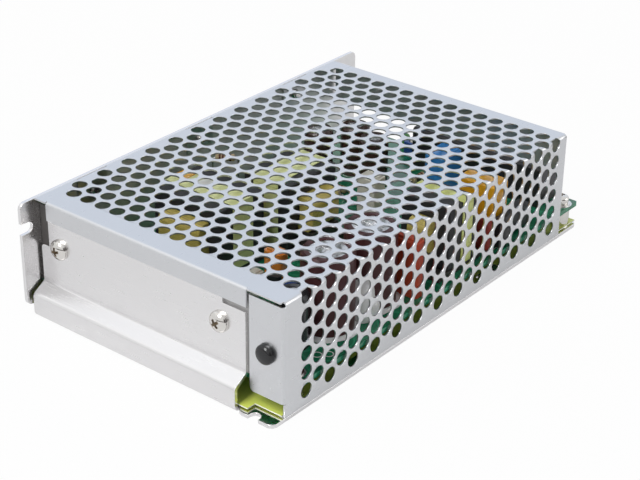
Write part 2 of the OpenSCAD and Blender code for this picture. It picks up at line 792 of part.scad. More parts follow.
module device_bodies() {
  color([0.1, 0.1, 0.11]) for (x = device_xs)
    along_x(x - device_w / 2, x + device_w / 2)
      polygon([
        [device_y1, body_z0], [device_y0 + device_t, body_z0], [device_y0 + device_t, body_z1 - 0.8],
        [device_y0 + device_t - 0.6, body_z1], [device_y1, body_z1]
      ]);
}

module insulating_sheet() {
  x0 = board_x0;
  x1 = x_side - fold_o - 0.1;
  y0 = lip_y + chassis_t + sheet_gap;
  color([0.72, 0.78, 0.32]) difference() {
    translate([0, 0, sheet_z]) linear_extrude(height = sheet_t) difference() {
      translate([x0, y0]) square([x1 - x0, y_rear - sheet_gap - y0]);
      translate([x1 - sheet_cut_w, y0 - eps]) square([sheet_cut_w + eps, sheet_cut_d + eps]);
      for (y = tongue_ys)
        translate([tongue_x - sheet_gap, y - tongue_l / 2 - sheet_gap])
          square([x1 - tongue_x + 2 * sheet_gap, tongue_l + 2 * sheet_gap]);
      for (p = standoff_pts) translate(p) circle(d = standoff_d + 0.2);
    }
  }
}

module standoffs() {
  color([0.82, 0.8, 0.76]) for (p = standoff_pts) translate([p[0], p[1], 0]) difference() {
    union() {
      translate([0, 0, base_top]) cylinder(d = standoff_d, h = board_lift);
      translate([0, 0, 0.1]) cylinder(d = stem_d - 0.1, h = chassis_t);
    }
    translate([0, 0, board_z0 - 4.6]) cylinder(r = screw_r + 0.05, h = 5);
  }
}

module circuit_board() {
  c = board_c;
  color([0.1, 0.42, 0.3]) difference() {
    translate([0, 0, board_z0]) linear_extrude(height = board_t) polygon([
      [board_x0, board_y0], [board_x1, board_y0], [board_x1, board_y1 - c],
      [board_x1 - c, board_y1], [board_x0 + c, board_y1], [board_x0, board_y1 - c]
    ]);
    for (p = standoff_pts) translate([p[0], p[1], board_z0 - eps]) cylinder(r = hole_r, h = board_t + 2 * eps);
  }
}

module board_screws() {
  color([0.83, 0.8, 0.74]) for (p = standoff_pts) translate([p[0], p[1], board_z1 + washer_t])
    domed(pan_d - 1.2, pan_h - 0.3, screw_r, board_screw_l);
}

// Spring washer on a flat washer
module board_washers() {
  color([0.76, 0.75, 0.72]) for (p = standoff_pts) translate([p[0], p[1], board_z1]) difference() {
    union() {
      cylinder(d = pan_d - 0.3, h = washer_t - 0.8);
      translate([0, 0, washer_t - 0.8]) cylinder(d = pan_d - 1.6, h = 0.8);
    }
    translate([0, 0, -eps]) cylinder(r = hole_r, h = washer_t + 2 * eps);
  }
}

module terminal_block() {
  z1 = board_z1 + block_h;
  deck_y0 = block_y0 + block_wall;
  color([0.11, 0.11, 0.12]) difference() {
    union() {
      along_x(block_x0, block_x1) polygon([
        [block_y0, board_z1], [block_y1, board_z1], [block_y1, deck_z], [deck_y0, deck_z],
        [deck_y0, z1], [block_y0 + 0.8, z1], [block_y0, z1 - 0.8]
      ]);
      for (i = [0:term_n])
        along_x(block_x0 + i * term_pitch, block_x0 + i * term_pitch + barrier_t) polygon([
          [deck_y0 - eps, board_z1], [block_y1, board_z1], [block_y1, z1 - 2.5], [block_y1 - 2.5, z1],
          [deck_y0 - eps, z1]
        ]);
    }
    for (i = [0:term_n - 1])
      translate([term_x(i), deck_y, board_z1 + 0.3]) cylinder(r = term_screw_d / 2 + term_gap + 0.3, h = block_h);
  }
}

module terminal_plates() {
  w = term_pitch - barrier_t - 0.4;
  color([0.82, 0.81, 0.78]) for (i = [0:term_n - 1]) difference() {
    box([term_x(i) - w / 2, block_y0 + block_wall + 0.3, deck_z], [term_x(i) + w / 2, block_y1 - 0.3, plate_z]);
    translate([term_x(i), deck_y, deck_z - eps]) cylinder(r = term_screw_d / 2 + term_gap, h = plate_t + 2 * eps);
  }
}

// Clamp screw with its captive square washer
module terminal_screw(i) {
  head_z = plate_z + clamp_t;
  color([0.84, 0.82, 0.78]) translate([term_x(i), deck_y, 0]) difference() {
    union() {
      translate([-clamp_w / 2, -clamp_w / 2, plate_z]) cube([clamp_w, clamp_w, clamp_t]);
      translate([0, 0, head_z]) domed(term_head_d, term_head_h, term_screw_d / 2, term_screw_l + clamp_t);
    }
    box([-term_head_d, -0.4, head_z + term_head_h - 0.9], [term_head_d, 0.4, head_z + term_head_h + eps]);
  }
}

module terminal_screw_1() { terminal_screw(0); }
module terminal_screw_2() { terminal_screw(1); }
module terminal_screw_3() { terminal_screw(2); }
module terminal_screw_4() { terminal_screw(3); }
module terminal_screw_5() { terminal_screw(4); }

module trimmer_body() {
  z1 = board_z1 + trim_h;
  color([0.12, 0.3, 0.62]) difference() {
    translate([trim_x, trim_y, board_z1]) linear_extrude(height = trim_h) round_rect(trim_w, trim_w, 0.5);
    translate([trim_x, trim_y, z1 - trim_pocket]) cylinder(r = trim_rotor_d / 2 + trim_gap, h = trim_pocket + eps);
  }
}

module trimmer_rotor() {
  z0 = board_z1 + trim_h - trim_pocket;
  h = trim_pocket + 0.2;
  color([0.9, 0.89, 0.84]) translate([trim_x, trim_y, z0]) difference() {
    cylinder(d = trim_rotor_d, h = h);
    box([-trim_rotor_d, -0.35, h - 0.8], [trim_rotor_d, 0.35, h + eps]);
  }
}

module indicator_lamp() {
  r = lamp_d / 2;
  color([0.45, 0.75, 0.4]) translate([lamp_x, lamp_y, board_z1]) rotate_extrude() union() {
    square([r + 0.4, 0.8]);
    square([r, 4]);
    intersection() {
      translate([0, 4]) circle(r = r);
      translate([0, 3]) square([r, r + 1]);
    }
  }
}

// Pair of E cores standing on edge. u along X, thickness w along Y, height h along Z
module e_core(u, w, h) {
  win = (h - 3 * yoke_t) / 2;
  translate([-u / 2, -w / 2, core_z]) difference() {
    cube([u, w, h]);
    for (z = [yoke_t, 2 * yoke_t + win])
      translate([yoke_t, -eps, z]) cube([u - 2 * yoke_t, w + 2 * eps, win]);
  }
}

// Taped winding on the centre leg, bulging on both faces of the core
module e_winding(u, w, h, bulge) {
  win = (h - 3 * yoke_t) / 2;
  l = u - 2 * yoke_t - 2 * coil_gap;
  z0 = core_z + yoke_t + coil_gap;
  z1 = core_z + h - yoke_t - coil_gap;
  leg0 = core_z + yoke_t + win - coil_gap;
  leg1 = leg0 + yoke_t + 2 * coil_gap;
  r = min(3, bulge * 0.7);
  difference() {
    translate([-l / 2, 0, (z0 + z1) / 2]) rotate([90, 0, 90]) linear_extrude(height = l)
      round_rect(w + 2 * bulge, z1 - z0, r);
    box([-l, -w / 2 - coil_gap, leg0], [l, w / 2 + coil_gap, leg1]);
  }
}

// Belt of tape around the pair of cores
module e_belt(u, h, belt, back) {
  translate([0, back, core_z]) difference() {
    translate([-u / 2 - tape_t, -belt / 2, -tape_t]) cube([u + 2 * tape_t, belt, h + 2 * tape_t]);
    translate([-u / 2, -belt / 2 - eps, 0]) cube([u, belt + 2 * eps, h]);
  }
}

// Moulded foot under the cores, with a flange up to the winding on both faces
module e_bobbin(u, w, h, bulge) {
  l = u - 2 * yoke_t - 2 * coil_gap;
  z1 = core_z + yoke_t + coil_gap;
  union() {
    box([-u / 2, -w / 2 - bulge, board_z1], [u / 2, w / 2 + bulge, core_z - tape_t]);
    for (s = [-1, 1])
      translate([0, s * (w / 2 + coil_gap + (bulge - coil_gap) / 2), 0])
        box([-l / 2, -(bulge - coil_gap) / 2, board_z1], [l / 2, (bulge - coil_gap) / 2, z1]);
  }
}

module transformer_core() {
  color([0.17, 0.17, 0.18]) translate(main_c) rotate(90) e_core(main_u, main_w, main_h);
}

module transformer_winding() {
  color([0.86, 0.84, 0.5]) translate(main_c) rotate(90) e_winding(main_u, main_w, main_h, main_bulge);
}

module transformer_belt() {
  color([0.9, 0.9, 0.6]) translate(main_c) rotate(90) e_belt(main_u, main_h, main_belt, 0);
}

module transformer_bobbin() {
  color([0.16, 0.15, 0.14]) translate(main_c) rotate(90) e_bobbin(main_u, main_w, main_h, main_bulge);
}

module output_choke_core() {
  color([0.17, 0.17, 0.18]) translate(choke_c) e_core(choke_u, choke_w, choke_h);
}

module output_choke_winding() {
  color([0.86, 0.84, 0.5]) translate(choke_c) e_winding(choke_u, choke_w, choke_h, choke_bulge);
}

module output_choke_belt() {
  color([0.9, 0.9, 0.6]) translate(choke_c) e_belt(choke_u, choke_h, choke_belt, 0);
}

module output_choke_bobbin() {
  color([0.16, 0.15, 0.14]) translate(choke_c) e_bobbin(choke_u, choke_w, choke_h, choke_bulge);
}

module input_choke_core() {
  color([0.17, 0.17, 0.18]) translate(filter_c) e_core(filter_u, filter_w, filter_h);
}

module input_choke_winding() {
  color([0.86, 0.84, 0.5]) translate(filter_c) e_winding(filter_u, filter_w, filter_h, filter_bulge);
}

module input_choke_belt() {
  color([0.9, 0.9, 0.6]) translate(filter_c) e_belt(filter_u, filter_h, filter_belt, filter_belt_back);
}

module input_choke_bobbin() {
  color([0.16, 0.15, 0.14]) translate(filter_c) e_bobbin(filter_u, filter_w, filter_h, filter_bulge);
}

// Aluminium can with its crimp groove and scored top, z0 to z1
module can(d, h) {
  r = d / 2 - sleeve_t;
  difference() {
    rotate_extrude() polygon([
      [0, 0], [r - 0.2, 0], [r - 0.2, 1.8], [r - 0.8, 2.3], [r - 0.8, 2.7], [r - 0.2, 3.2],
      [r - 0.2, h - 0.6], [r - 0.8, h], [0, h]
    ]);
    for (a = [0, 90]) rotate(a) translate([-r * 0.7, -0.15, h - 0.25]) cube([r * 1.4, 0.3, eps]);
  }
}

// Shrunk sleeve, turned in over the can's rim
module sleeve(d, h) {
  r = d / 2;
  turn_r = r - 0.7 - sleeve_turn;
  rotate_extrude() polygon([
    [r - sleeve_t - 0.2, 0], [r, 0], [r, h - 0.5], [r - 0.7, h + sleeve_t], [turn_r, h + sleeve_t],
    [turn_r, h], [r - sleeve_t - 0.8, h], [r - sleeve_t - 0.2, h - 0.6]
  ]);
}

module bulk_cans() {
  color([0.75, 0.75, 0.76]) for (y = bulk_ys) translate([bulk_c[0], y, board_z1]) can(bulk_d, bulk_z1 - board_z1 - sleeve_t);
}

module bulk_sleeves() {
  color([0.36, 0.2, 0.2]) for (y = bulk_ys) translate([bulk_c[0], y, board_z1]) sleeve(bulk_d, bulk_z1 - board_z1 - sleeve_t);
}

// Silicone bead between the two large capacitors
module glue_bead() {
  color([0.9, 0.9, 0.89]) difference() {
    translate([bulk_c[0] + bulk_d * 0.3, bulk_c[1], board_z1]) union() {
      cylinder(d = glue_d, h = glue_h);
      translate([0, 0, glue_h]) intersection() {
        sphere(d = glue_d);
        translate([-glue_d, -glue_d, 0]) cube(2 * glue_d);
      }
    }
    for (y = bulk_ys) translate([bulk_c[0], y, board_z1 - eps]) cylinder(d = bulk_d + 0.1, h = bulk_z1 - board_z1);
  }
}

module small_cans() {
  color([0.75, 0.75, 0.76]) for (p = small_pts) translate([p[0], p[1], board_z1]) can(small_d, small_h);
}

module small_sleeves() {
  color([0.2, 0.13, 0.12]) for (p = small_pts) translate([p[0], p[1], board_z1]) sleeve(small_d, small_h);
}

// Dipped or boxed capacitor body with rounded upright edges and a chamfered top
module cap_body(w, l, h, r) {
  c = min(0.8, r);
  union() {
    linear_extrude(height = h - c) round_rect(w, l, r);
    translate([0, 0, h - c - 0.01]) linear_extrude(height = c + 0.01) round_rect(w - 2 * c, l - 2 * c, max(r - c, 0.4));
  }
}

module blue_capacitor() {
  color([0.16, 0.45, 0.75]) translate([blue_c[0], blue_c[1], board_z1]) cap_body(8.6, 11, blue_h, 2);
}

module amber_capacitor() {
  color([0.86, 0.55, 0.06]) translate([amber_c[0], amber_c[1], board_z1]) cap_body(14, 8.4, amber_h, 1);
}

module red_capacitor() {
  color([0.55, 0.16, 0.12]) translate([red_c[0], red_c[1], board_z1]) cap_body(10, 4.4, red_h, 1.2);
}

module ceramic_resistor() {
  color([0.86, 0.84, 0.78]) {
    translate([ceramic_c[0], ceramic_c[1], board_z1]) cap_body(7, 6, ceramic_h, 0.6);
    translate([film_c[0], film_c[1], board_z1]) cap_body(5, 4, ceramic_h * 0.4, 0.6);
  }
}

module orange_capacitor() {
  color([0.8, 0.38, 0.12]) translate([orange_c[0], orange_c[1], board_z1]) union() {
    translate([0, 0, orange_lift]) cap_body(7, 4.4, orange_h - orange_lift, 1.4);
    for (x = [-1.25, 1.25]) translate([x, 0, 0]) cylinder(d = 0.8, h = orange_lift + 1);
  }
}

// Dipped disc on edge, with its two straight leads
module disc_capacitor() {
  color([0.12, 0.22, 0.6]) translate([disc_c[0], disc_c[1], board_z1]) union() {
    translate([-1.75, 0, 2 + disc_d / 2]) rotate([0, 90, 0]) cylinder(d = disc_d, h = 3.5);
    for (y = [-2.5, 2.5]) translate([0, y, 0]) cylinder(d = 0.8, h = 2 + disc_d / 2);
  }
}

module control_chip() {
  color([0.12, 0.12, 0.13]) translate([chip_c[0], chip_c[1], board_z1]) union() {
    translate([-3.2, -4.9, 0.6]) cube([6.4, 9.8, 3.2]);
    for (x = [-3.9, 3.4])
      for (y = [-3.81:2.54:3.82]) translate([x, y - 0.3, 0]) cube([0.5, 0.6, 2.2]);
    for (x = [-3.9, 3.1])
      for (y = [-3.81:2.54:3.82]) translate([x, y - 0.3, 1.7]) cube([0.8, 0.6, 0.5]);
  }
}

module fuse_body() {
  color([0.88, 0.88, 0.84]) translate([fuse_c[0], fuse_c[1], board_z1 + fuse_d / 2 + 0.2]) rotate([90, 0, 0])
    cylinder(d = fuse_d - 0.6, h = fuse_l - 0.8, center = true);
}

module fuse_caps() {
  z = fuse_d / 2 + 0.2;
  color([0.78, 0.78, 0.77]) translate([fuse_c[0], fuse_c[1], board_z1]) for (s = [0, 180]) rotate(s) {
    translate([0, fuse_l / 2 - 5, z]) rotate([-90, 0, 0]) difference() {
      cylinder(d = fuse_d, h = 5);
      translate([0, 0, -eps]) cylinder(d = fuse_d - 0.5, h = 4.65 + eps);
    }
    translate([-0.6, fuse_l / 2 - 0.4, 0]) cube([1.2, 0.4, z]);
  }
}

chassis();
cover();
cover_screws();
push_rivet();
end_screws();
end_nuts();
insulator_pads();
device_tabs();
device_bodies();
insulating_sheet();
standoffs();
circuit_board();
board_screws();
board_washers();
terminal_block();
terminal_plates();
terminal_screw_1();
terminal_screw_2();
terminal_screw_3();
terminal_screw_4();
terminal_screw_5();
trimmer_body();
trimmer_rotor();
indicator_lamp();
transformer_core();
transformer_winding();
transformer_belt();
transformer_bobbin();
output_choke_core();
output_choke_winding();
output_choke_belt();
output_choke_bobbin();
input_choke_core();
input_choke_winding();
input_choke_belt();
input_choke_bobbin();
bulk_cans();
bulk_sleeves();
glue_bead();
small_cans();
small_sleeves();
blue_capacitor();
amber_capacitor();
red_capacitor();
ceramic_resistor();
orange_capacitor();
disc_capacitor();
control_chip();
fuse_body();
fuse_caps();
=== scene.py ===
import bpy
import bmesh
import math
from mathutils import Matrix, Vector, noise


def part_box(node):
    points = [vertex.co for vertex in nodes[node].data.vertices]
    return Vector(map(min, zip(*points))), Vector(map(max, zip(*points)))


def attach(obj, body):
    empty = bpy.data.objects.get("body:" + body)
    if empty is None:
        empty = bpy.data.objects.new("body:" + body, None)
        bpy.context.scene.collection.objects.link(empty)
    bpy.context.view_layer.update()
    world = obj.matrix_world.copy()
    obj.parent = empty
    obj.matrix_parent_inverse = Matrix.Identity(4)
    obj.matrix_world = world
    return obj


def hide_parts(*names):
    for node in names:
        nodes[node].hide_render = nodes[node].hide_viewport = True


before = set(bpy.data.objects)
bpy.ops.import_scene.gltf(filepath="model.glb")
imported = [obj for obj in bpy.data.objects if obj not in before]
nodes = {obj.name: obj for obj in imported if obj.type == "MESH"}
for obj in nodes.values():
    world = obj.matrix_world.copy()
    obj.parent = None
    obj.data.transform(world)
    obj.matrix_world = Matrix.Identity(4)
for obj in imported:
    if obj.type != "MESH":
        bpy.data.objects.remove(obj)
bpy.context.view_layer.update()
mm = 0.001

scene = bpy.context.scene
scene.view_settings.view_transform = "Standard"


def meshFrom(name, bm):
    mesh = bpy.data.meshes.new(name)
    bm.to_mesh(mesh)
    bm.free()
    return mesh


def linked(name, data):
    made = bpy.data.objects.new(name, data)
    scene.collection.objects.link(made)
    return made


# camera, solved from the rows of holes
shot = {"place": (0.29189, -0.36256, 0.25977), "turn": (61.808, -0.6505, 39.060), "lens": 93.888, "sensor": 36,
        "near": 0.01}
cameraData = bpy.data.cameras.new("photoCamera")
cameraData.lens = shot["lens"]
cameraData.sensor_width = shot["sensor"]
cameraData.sensor_fit = "HORIZONTAL"
cameraData.clip_start = shot["near"]
camera = linked("photoCamera", cameraData)
camera.location = shot["place"]
camera.rotation_euler = [math.radians(a) for a in shot["turn"]]
scene.camera = camera

# studio: pale floor, grey surround with a cool side, a dim band and a dark doorway, soft boxes
studio = {
    "floorSize": 4.0, "floorColour": (0.70, 0.70, 0.705), "floorRough": 0.9, "floorGloss": 0.1,
    "floorDrop": 0.00003, "floorWhite": 0.965, "floorMirrored": 0.36,
    "skyColour": (0.97, 0.98, 1.0), "skyDiffuse": 0.42, "skyGlossy": (0.84, 0.845, 0.85),
    "coolSide": (-0.60, 0.66, 0.45), "coolFrom": 0.55, "coolTo": 0.90, "coolColour": (0.84, 0.90, 1.00),
    "dimSide": (0.75, -0.66, 0), "dimFrom": 0.1, "dimTo": 0.5, "dimUpTo": (0.05, 0.15),
    "doorSide": (0.90, -0.36, 0.25), "doorFrom": 0.90, "doorTo": 0.96, "dimColour": (0.09, 0.08, 0.08),
    "aimHeight": 0.02,
    "boxes": {
        "overhead": {"way": (-0.52, -0.28, 0.81), "far": 1.15, "size": (1.20, 1.20), "watts": 0.8},
        "front": {"way": (-0.04, -0.66, 0.75), "far": 1.30, "size": (0.50, 1.00), "watts": 12.2},
        "right": {"way": (0.80, 0.50, 0.30), "far": 1.30, "size": (0.80, 0.80), "watts": 2.6},
    },
}


def fill(node, values):
    for key, value in values.items():
        node.inputs[key].default_value = value


def mixShaders(tree, factor, first, second):
    mix = tree.nodes.new("ShaderNodeMixShader")
    tree.links.new(factor, mix.inputs[0])
    tree.links.new(first, mix.inputs[1])
    tree.links.new(second, mix.inputs[2])
    return mix.outputs[0]


def sums(tree, operation, first, second):
    made = tree.nodes.new("ShaderNodeMath")
    made.operation = operation
    for socket, value in zip(made.inputs, (first, second)):
        if isinstance(value, (int, float)):
            socket.default_value = value
        else:
            tree.links.new(value, socket)
    return made.outputs[0]


def spread(tree, value, low, high, fromLow=0.3, fromHigh=0.7):
    ranged = tree.nodes.new("ShaderNodeMapRange")
    fill(ranged, {"From Min": fromLow, "From Max": fromHigh, "To Min": low, "To Max": high})
    tree.links.new(value, ranged.inputs["Value"])
    return ranged.outputs["Result"]


def twoColours(tree, value, first, second):
    mix = tree.nodes.new("ShaderNodeMix")
    mix.data_type = "RGBA"
    tree.links.new(value, mix.inputs["Factor"])
    for key, colour in (("A", first), ("B", second)):
        socket = [s for s in mix.inputs if s.name == key and s.type == "RGBA"][0]
        if hasattr(colour, "default_value"):
            tree.links.new(colour, socket)
        else:
            socket.default_value = (*colour, 1)
    return [s for s in mix.outputs if s.type == "RGBA"][0]


# how far a direction or a normal points one way, 0 to 1
def facing(tree, source, way, low, high):
    dot = tree.nodes.new("ShaderNodeVectorMath")
    dot.operation = "DOT_PRODUCT"
    tree.links.new(source, dot.inputs[0])
    dot.inputs[1].default_value = Vector(way).normalized()
    return spread(tree, dot.outputs["Value"], 0, 1, low, high)


# x, y and z of a vector
def axesOf(tree, vector):
    parts = tree.nodes.new("ShaderNodeSeparateXYZ")
    tree.links.new(vector, parts.inputs[0])
    return parts.outputs


def buildSurround(spec):
    world = bpy.data.worlds.new("studioSurround")
    scene.world = world
    world.use_nodes = True
    tree = world.node_tree
    path = tree.nodes.new("ShaderNodeLightPath")
    way = tree.nodes.new("ShaderNodeTexCoord").outputs["Generated"]
    plain = tree.nodes["Background"]
    fill(plain, {"Color": (*spec["skyColour"], 1), "Strength": spec["skyDiffuse"]})
    mirrored = tree.nodes.new("ShaderNodeBackground")
    cool = facing(tree, way, spec["coolSide"], spec["coolFrom"], spec["coolTo"])
    low = spread(tree, axesOf(tree, way)["Z"], 1, 0, *spec["dimUpTo"])
    dim = facing(tree, way, spec["dimSide"], spec["dimFrom"], spec["dimTo"])
    door = facing(tree, way, spec["doorSide"], spec["doorFrom"], spec["doorTo"])
    dim = sums(tree, "MAXIMUM", sums(tree, "MULTIPLY", dim, low), door)
    colour = twoColours(tree, cool, spec["skyGlossy"], spec["coolColour"])
    tree.links.new(twoColours(tree, dim, colour, spec["dimColour"]), mirrored.inputs["Color"])
    white = tree.nodes.new("ShaderNodeBackground")
    fill(white, {"Color": (1, 1, 1, 1)})
    seen = sums(tree, "MAXIMUM", path.outputs["Is Glossy Ray"], path.outputs["Is Transmission Ray"])
    mixed = mixShaders(tree, seen, plain.outputs[0], mirrored.outputs[0])
    mixed = mixShaders(tree, path.outputs["Is Camera Ray"], mixed, white.outputs[0])
    tree.links.new(mixed, tree.nodes["World Output"].inputs["Surface"])


def buildFloor(spec):
    bm = bmesh.new()
    bmesh.ops.create_grid(bm, x_segments=1, y_segments=1, size=spec["floorSize"])
    bmesh.ops.translate(bm, vec=(0, 0, -spec["floorDrop"]), verts=bm.verts[:])
    mesh = meshFrom("studioFloor", bm)
    floor = linked("studioFloor", mesh)
    paper = bpy.data.materials.new("floorPaper")
    paper.use_nodes = True
    tree = paper.node_tree
    shader = tree.nodes["Principled BSDF"]
    fill(shader, {"Base Color": (*spec["floorColour"], 1), "Roughness": spec["floorRough"],
                  "Specular IOR Level": spec["floorGloss"]})
    path = tree.nodes.new("ShaderNodeLightPath")
    glow = tree.nodes.new("ShaderNodeEmission")
    fill(glow, {"Color": (1, 1, 1, 1)})
    seen = sums(tree, "MAXIMUM", path.outputs["Is Glossy Ray"], path.outputs["Is Transmission Ray"])
    share = sums(tree, "MAXIMUM", sums(tree, "MULTIPLY", path.outputs["Is Camera Ray"], spec["floorWhite"]),
                 sums(tree, "MULTIPLY", seen, spec["floorMirrored"]))
    mixed = mixShaders(tree, share, shader.outputs[0], glow.outputs[0])
    # clear from below, so that the underside can be looked at
    under = tree.nodes.new("ShaderNodeNewGeometry")
    clear = tree.nodes.new("ShaderNodeBsdfTransparent")
    mixed = mixShaders(tree, under.outputs["Backfacing"], mixed, clear.outputs[0])
    tree.links.new(mixed, tree.nodes["Material Output"].inputs["Surface"])
    mesh.materials.append(paper)


def buildBoxes(spec):
    for name, box in spec["boxes"].items():
        lamp = bpy.data.lights.new(name + "Box", "AREA")
        lamp.shape = "RECTANGLE"
        lamp.size, lamp.size_y = box["size"]
        lamp.energy = box["watts"]
        holder = linked(name + "Box", lamp)
        way = Vector(box["way"]).normalized()
        holder.location = way * box["far"] + Vector((0, 0, spec["aimHeight"]))
        holder.rotation_euler = (-way).to_track_quat("-Z", "Y").to_euler()


buildSurround(studio)
buildFloor(studio)
buildBoxes(studio)
print("studio and camera set")


# finishes: every one reads Object coordinates, in metres
def startFinish(name, colour, rough, metal=0.0):
    made = bpy.data.materials.new(name)
    made.use_nodes = True
    shader = made.node_tree.nodes["Principled BSDF"]
    fill(shader, {"Base Color": (*colour, 1), "Roughness": rough, "Metallic": metal})
    return made, made.node_tree, shader


def placeOn(tree):
    return tree.nodes.new("ShaderNodeTexCoord").outputs["Object"]


def normalOn(tree, kind="True Normal"):
    return tree.nodes.new("ShaderNodeNewGeometry").outputs[kind]


# cloudy noise, as fine each way as stretch says
def noiseOn(tree, stretch, detail, rough=0.55):
    mapping = tree.nodes.new("ShaderNodeMapping")
    fill(mapping, {"Scale": stretch if isinstance(stretch, tuple) else (stretch,) * 3})
    cloud = tree.nodes.new("ShaderNodeTexNoise")
    fill(cloud, {"Scale": 1.0, "Detail": detail, "Roughness": rough})
    tree.links.new(placeOn(tree), mapping.inputs["Vector"])
    tree.links.new(mapping.outputs["Vector"], cloud.inputs["Vector"])
    return cloud.outputs["Fac"]


def lift(tree, shader, value, depth, strength):
    bump = tree.nodes.new("ShaderNodeBump")
    fill(bump, {"Strength": strength, "Distance": depth})
    tree.links.new(value, bump.inputs["Height"])
    tree.links.new(bump.outputs["Normal"], shader.inputs["Normal"])


# shared by the plain finishes: limits of square-on and of level normals, and lesser settings
plainFit = {"square": (0.93, 0.97), "level": (0.3, 0.6), "patch": 60, "bumpShare": 0.4, "coatRough": 0.10,
            "softRadius": (0.8, 0.8, 0.7), "softScale": 0.0008}


# rolled, moulded or dipped surface: slow patches of two colours, a fine grain in gloss and height
def plainFinish(name, spec, fit):
    made, tree, shader = startFinish(name, spec["colour"], spec["rough"][0], spec.get("metal", 0.0))
    slow = noiseOn(tree, spec.get("patch", fit["patch"]), detail=3.0)
    colour = twoColours(tree, spread(tree, slow, 0, 1), spec["colour"], spec["second"])
    # painted highlight: faces whose normal lies level, the cut edges, are painted in the edge colour
    if "edge" in spec:
        level = sums(tree, "ABSOLUTE", axesOf(tree, normalOn(tree))["Z"], 0)
        colour = twoColours(tree, spread(tree, level, 1, 0, *fit["level"]), colour, spec["edge"])
    # a second colour by place along one axis: on the pads this is painted light and painted shade, on the small
    # sleeves it is one can's own browner sleeve
    if "along" in spec:
        run = spec["along"]
        share = spread(tree, axesOf(tree, placeOn(tree))[run["axis"]], 0, 1, run["from"], run["to"])
        colour = twoColours(tree, share, colour, run["colour"])
    if "stripe" in spec:
        stripe = spec["stripe"]
        beside = facing(tree, normalOn(tree, "Normal"), stripe["way"], *stripe["within"])
        colour = twoColours(tree, beside, colour, stripe["colour"])
    tree.links.new(colour, shader.inputs["Base Color"])
    fine = noiseOn(tree, spec["grain"], detail=5.0, rough=0.6)
    dull = spread(tree, fine, *spec["rough"])
    if "matt" in spec:
        matt = spec["matt"]
        inward = sums(tree, "MULTIPLY", facing(tree, normalOn(tree), matt["way"], *fit["square"]),
                      spread(tree, axesOf(tree, placeOn(tree))["Y"], 0, 1, *matt["within"]))
        dull = sums(tree, "MULTIPLY", dull, spread(tree, inward, 1, matt["more"], 0, 1))
    if "polish" in spec:
        upward = facing(tree, normalOn(tree), (0, 0, 1), *fit["square"])
        dull = sums(tree, "MULTIPLY", dull, spread(tree, upward, 1, spec["polish"], 0, 1))
    tree.links.new(dull, shader.inputs["Roughness"])
    if "bump" in spec:
        lift(tree, shader, fine, spec["bump"], fit["bumpShare"])
    if "coat" in spec:
        fill(shader, {"Coat Weight": spec["coat"], "Coat Roughness": fit["coatRough"]})
    if "gloss" in spec:
        fill(shader, {"Specular IOR Level": spec["gloss"]})
    if "through" in spec:
        fill(shader, {"Transmission Weight": spec["through"]})
    if "soft" in spec:
        fill(shader, {"Subsurface Weight": spec["soft"], "Subsurface Radius": fit["softRadius"],
                      "Subsurface Scale": fit["softScale"]})
    return made


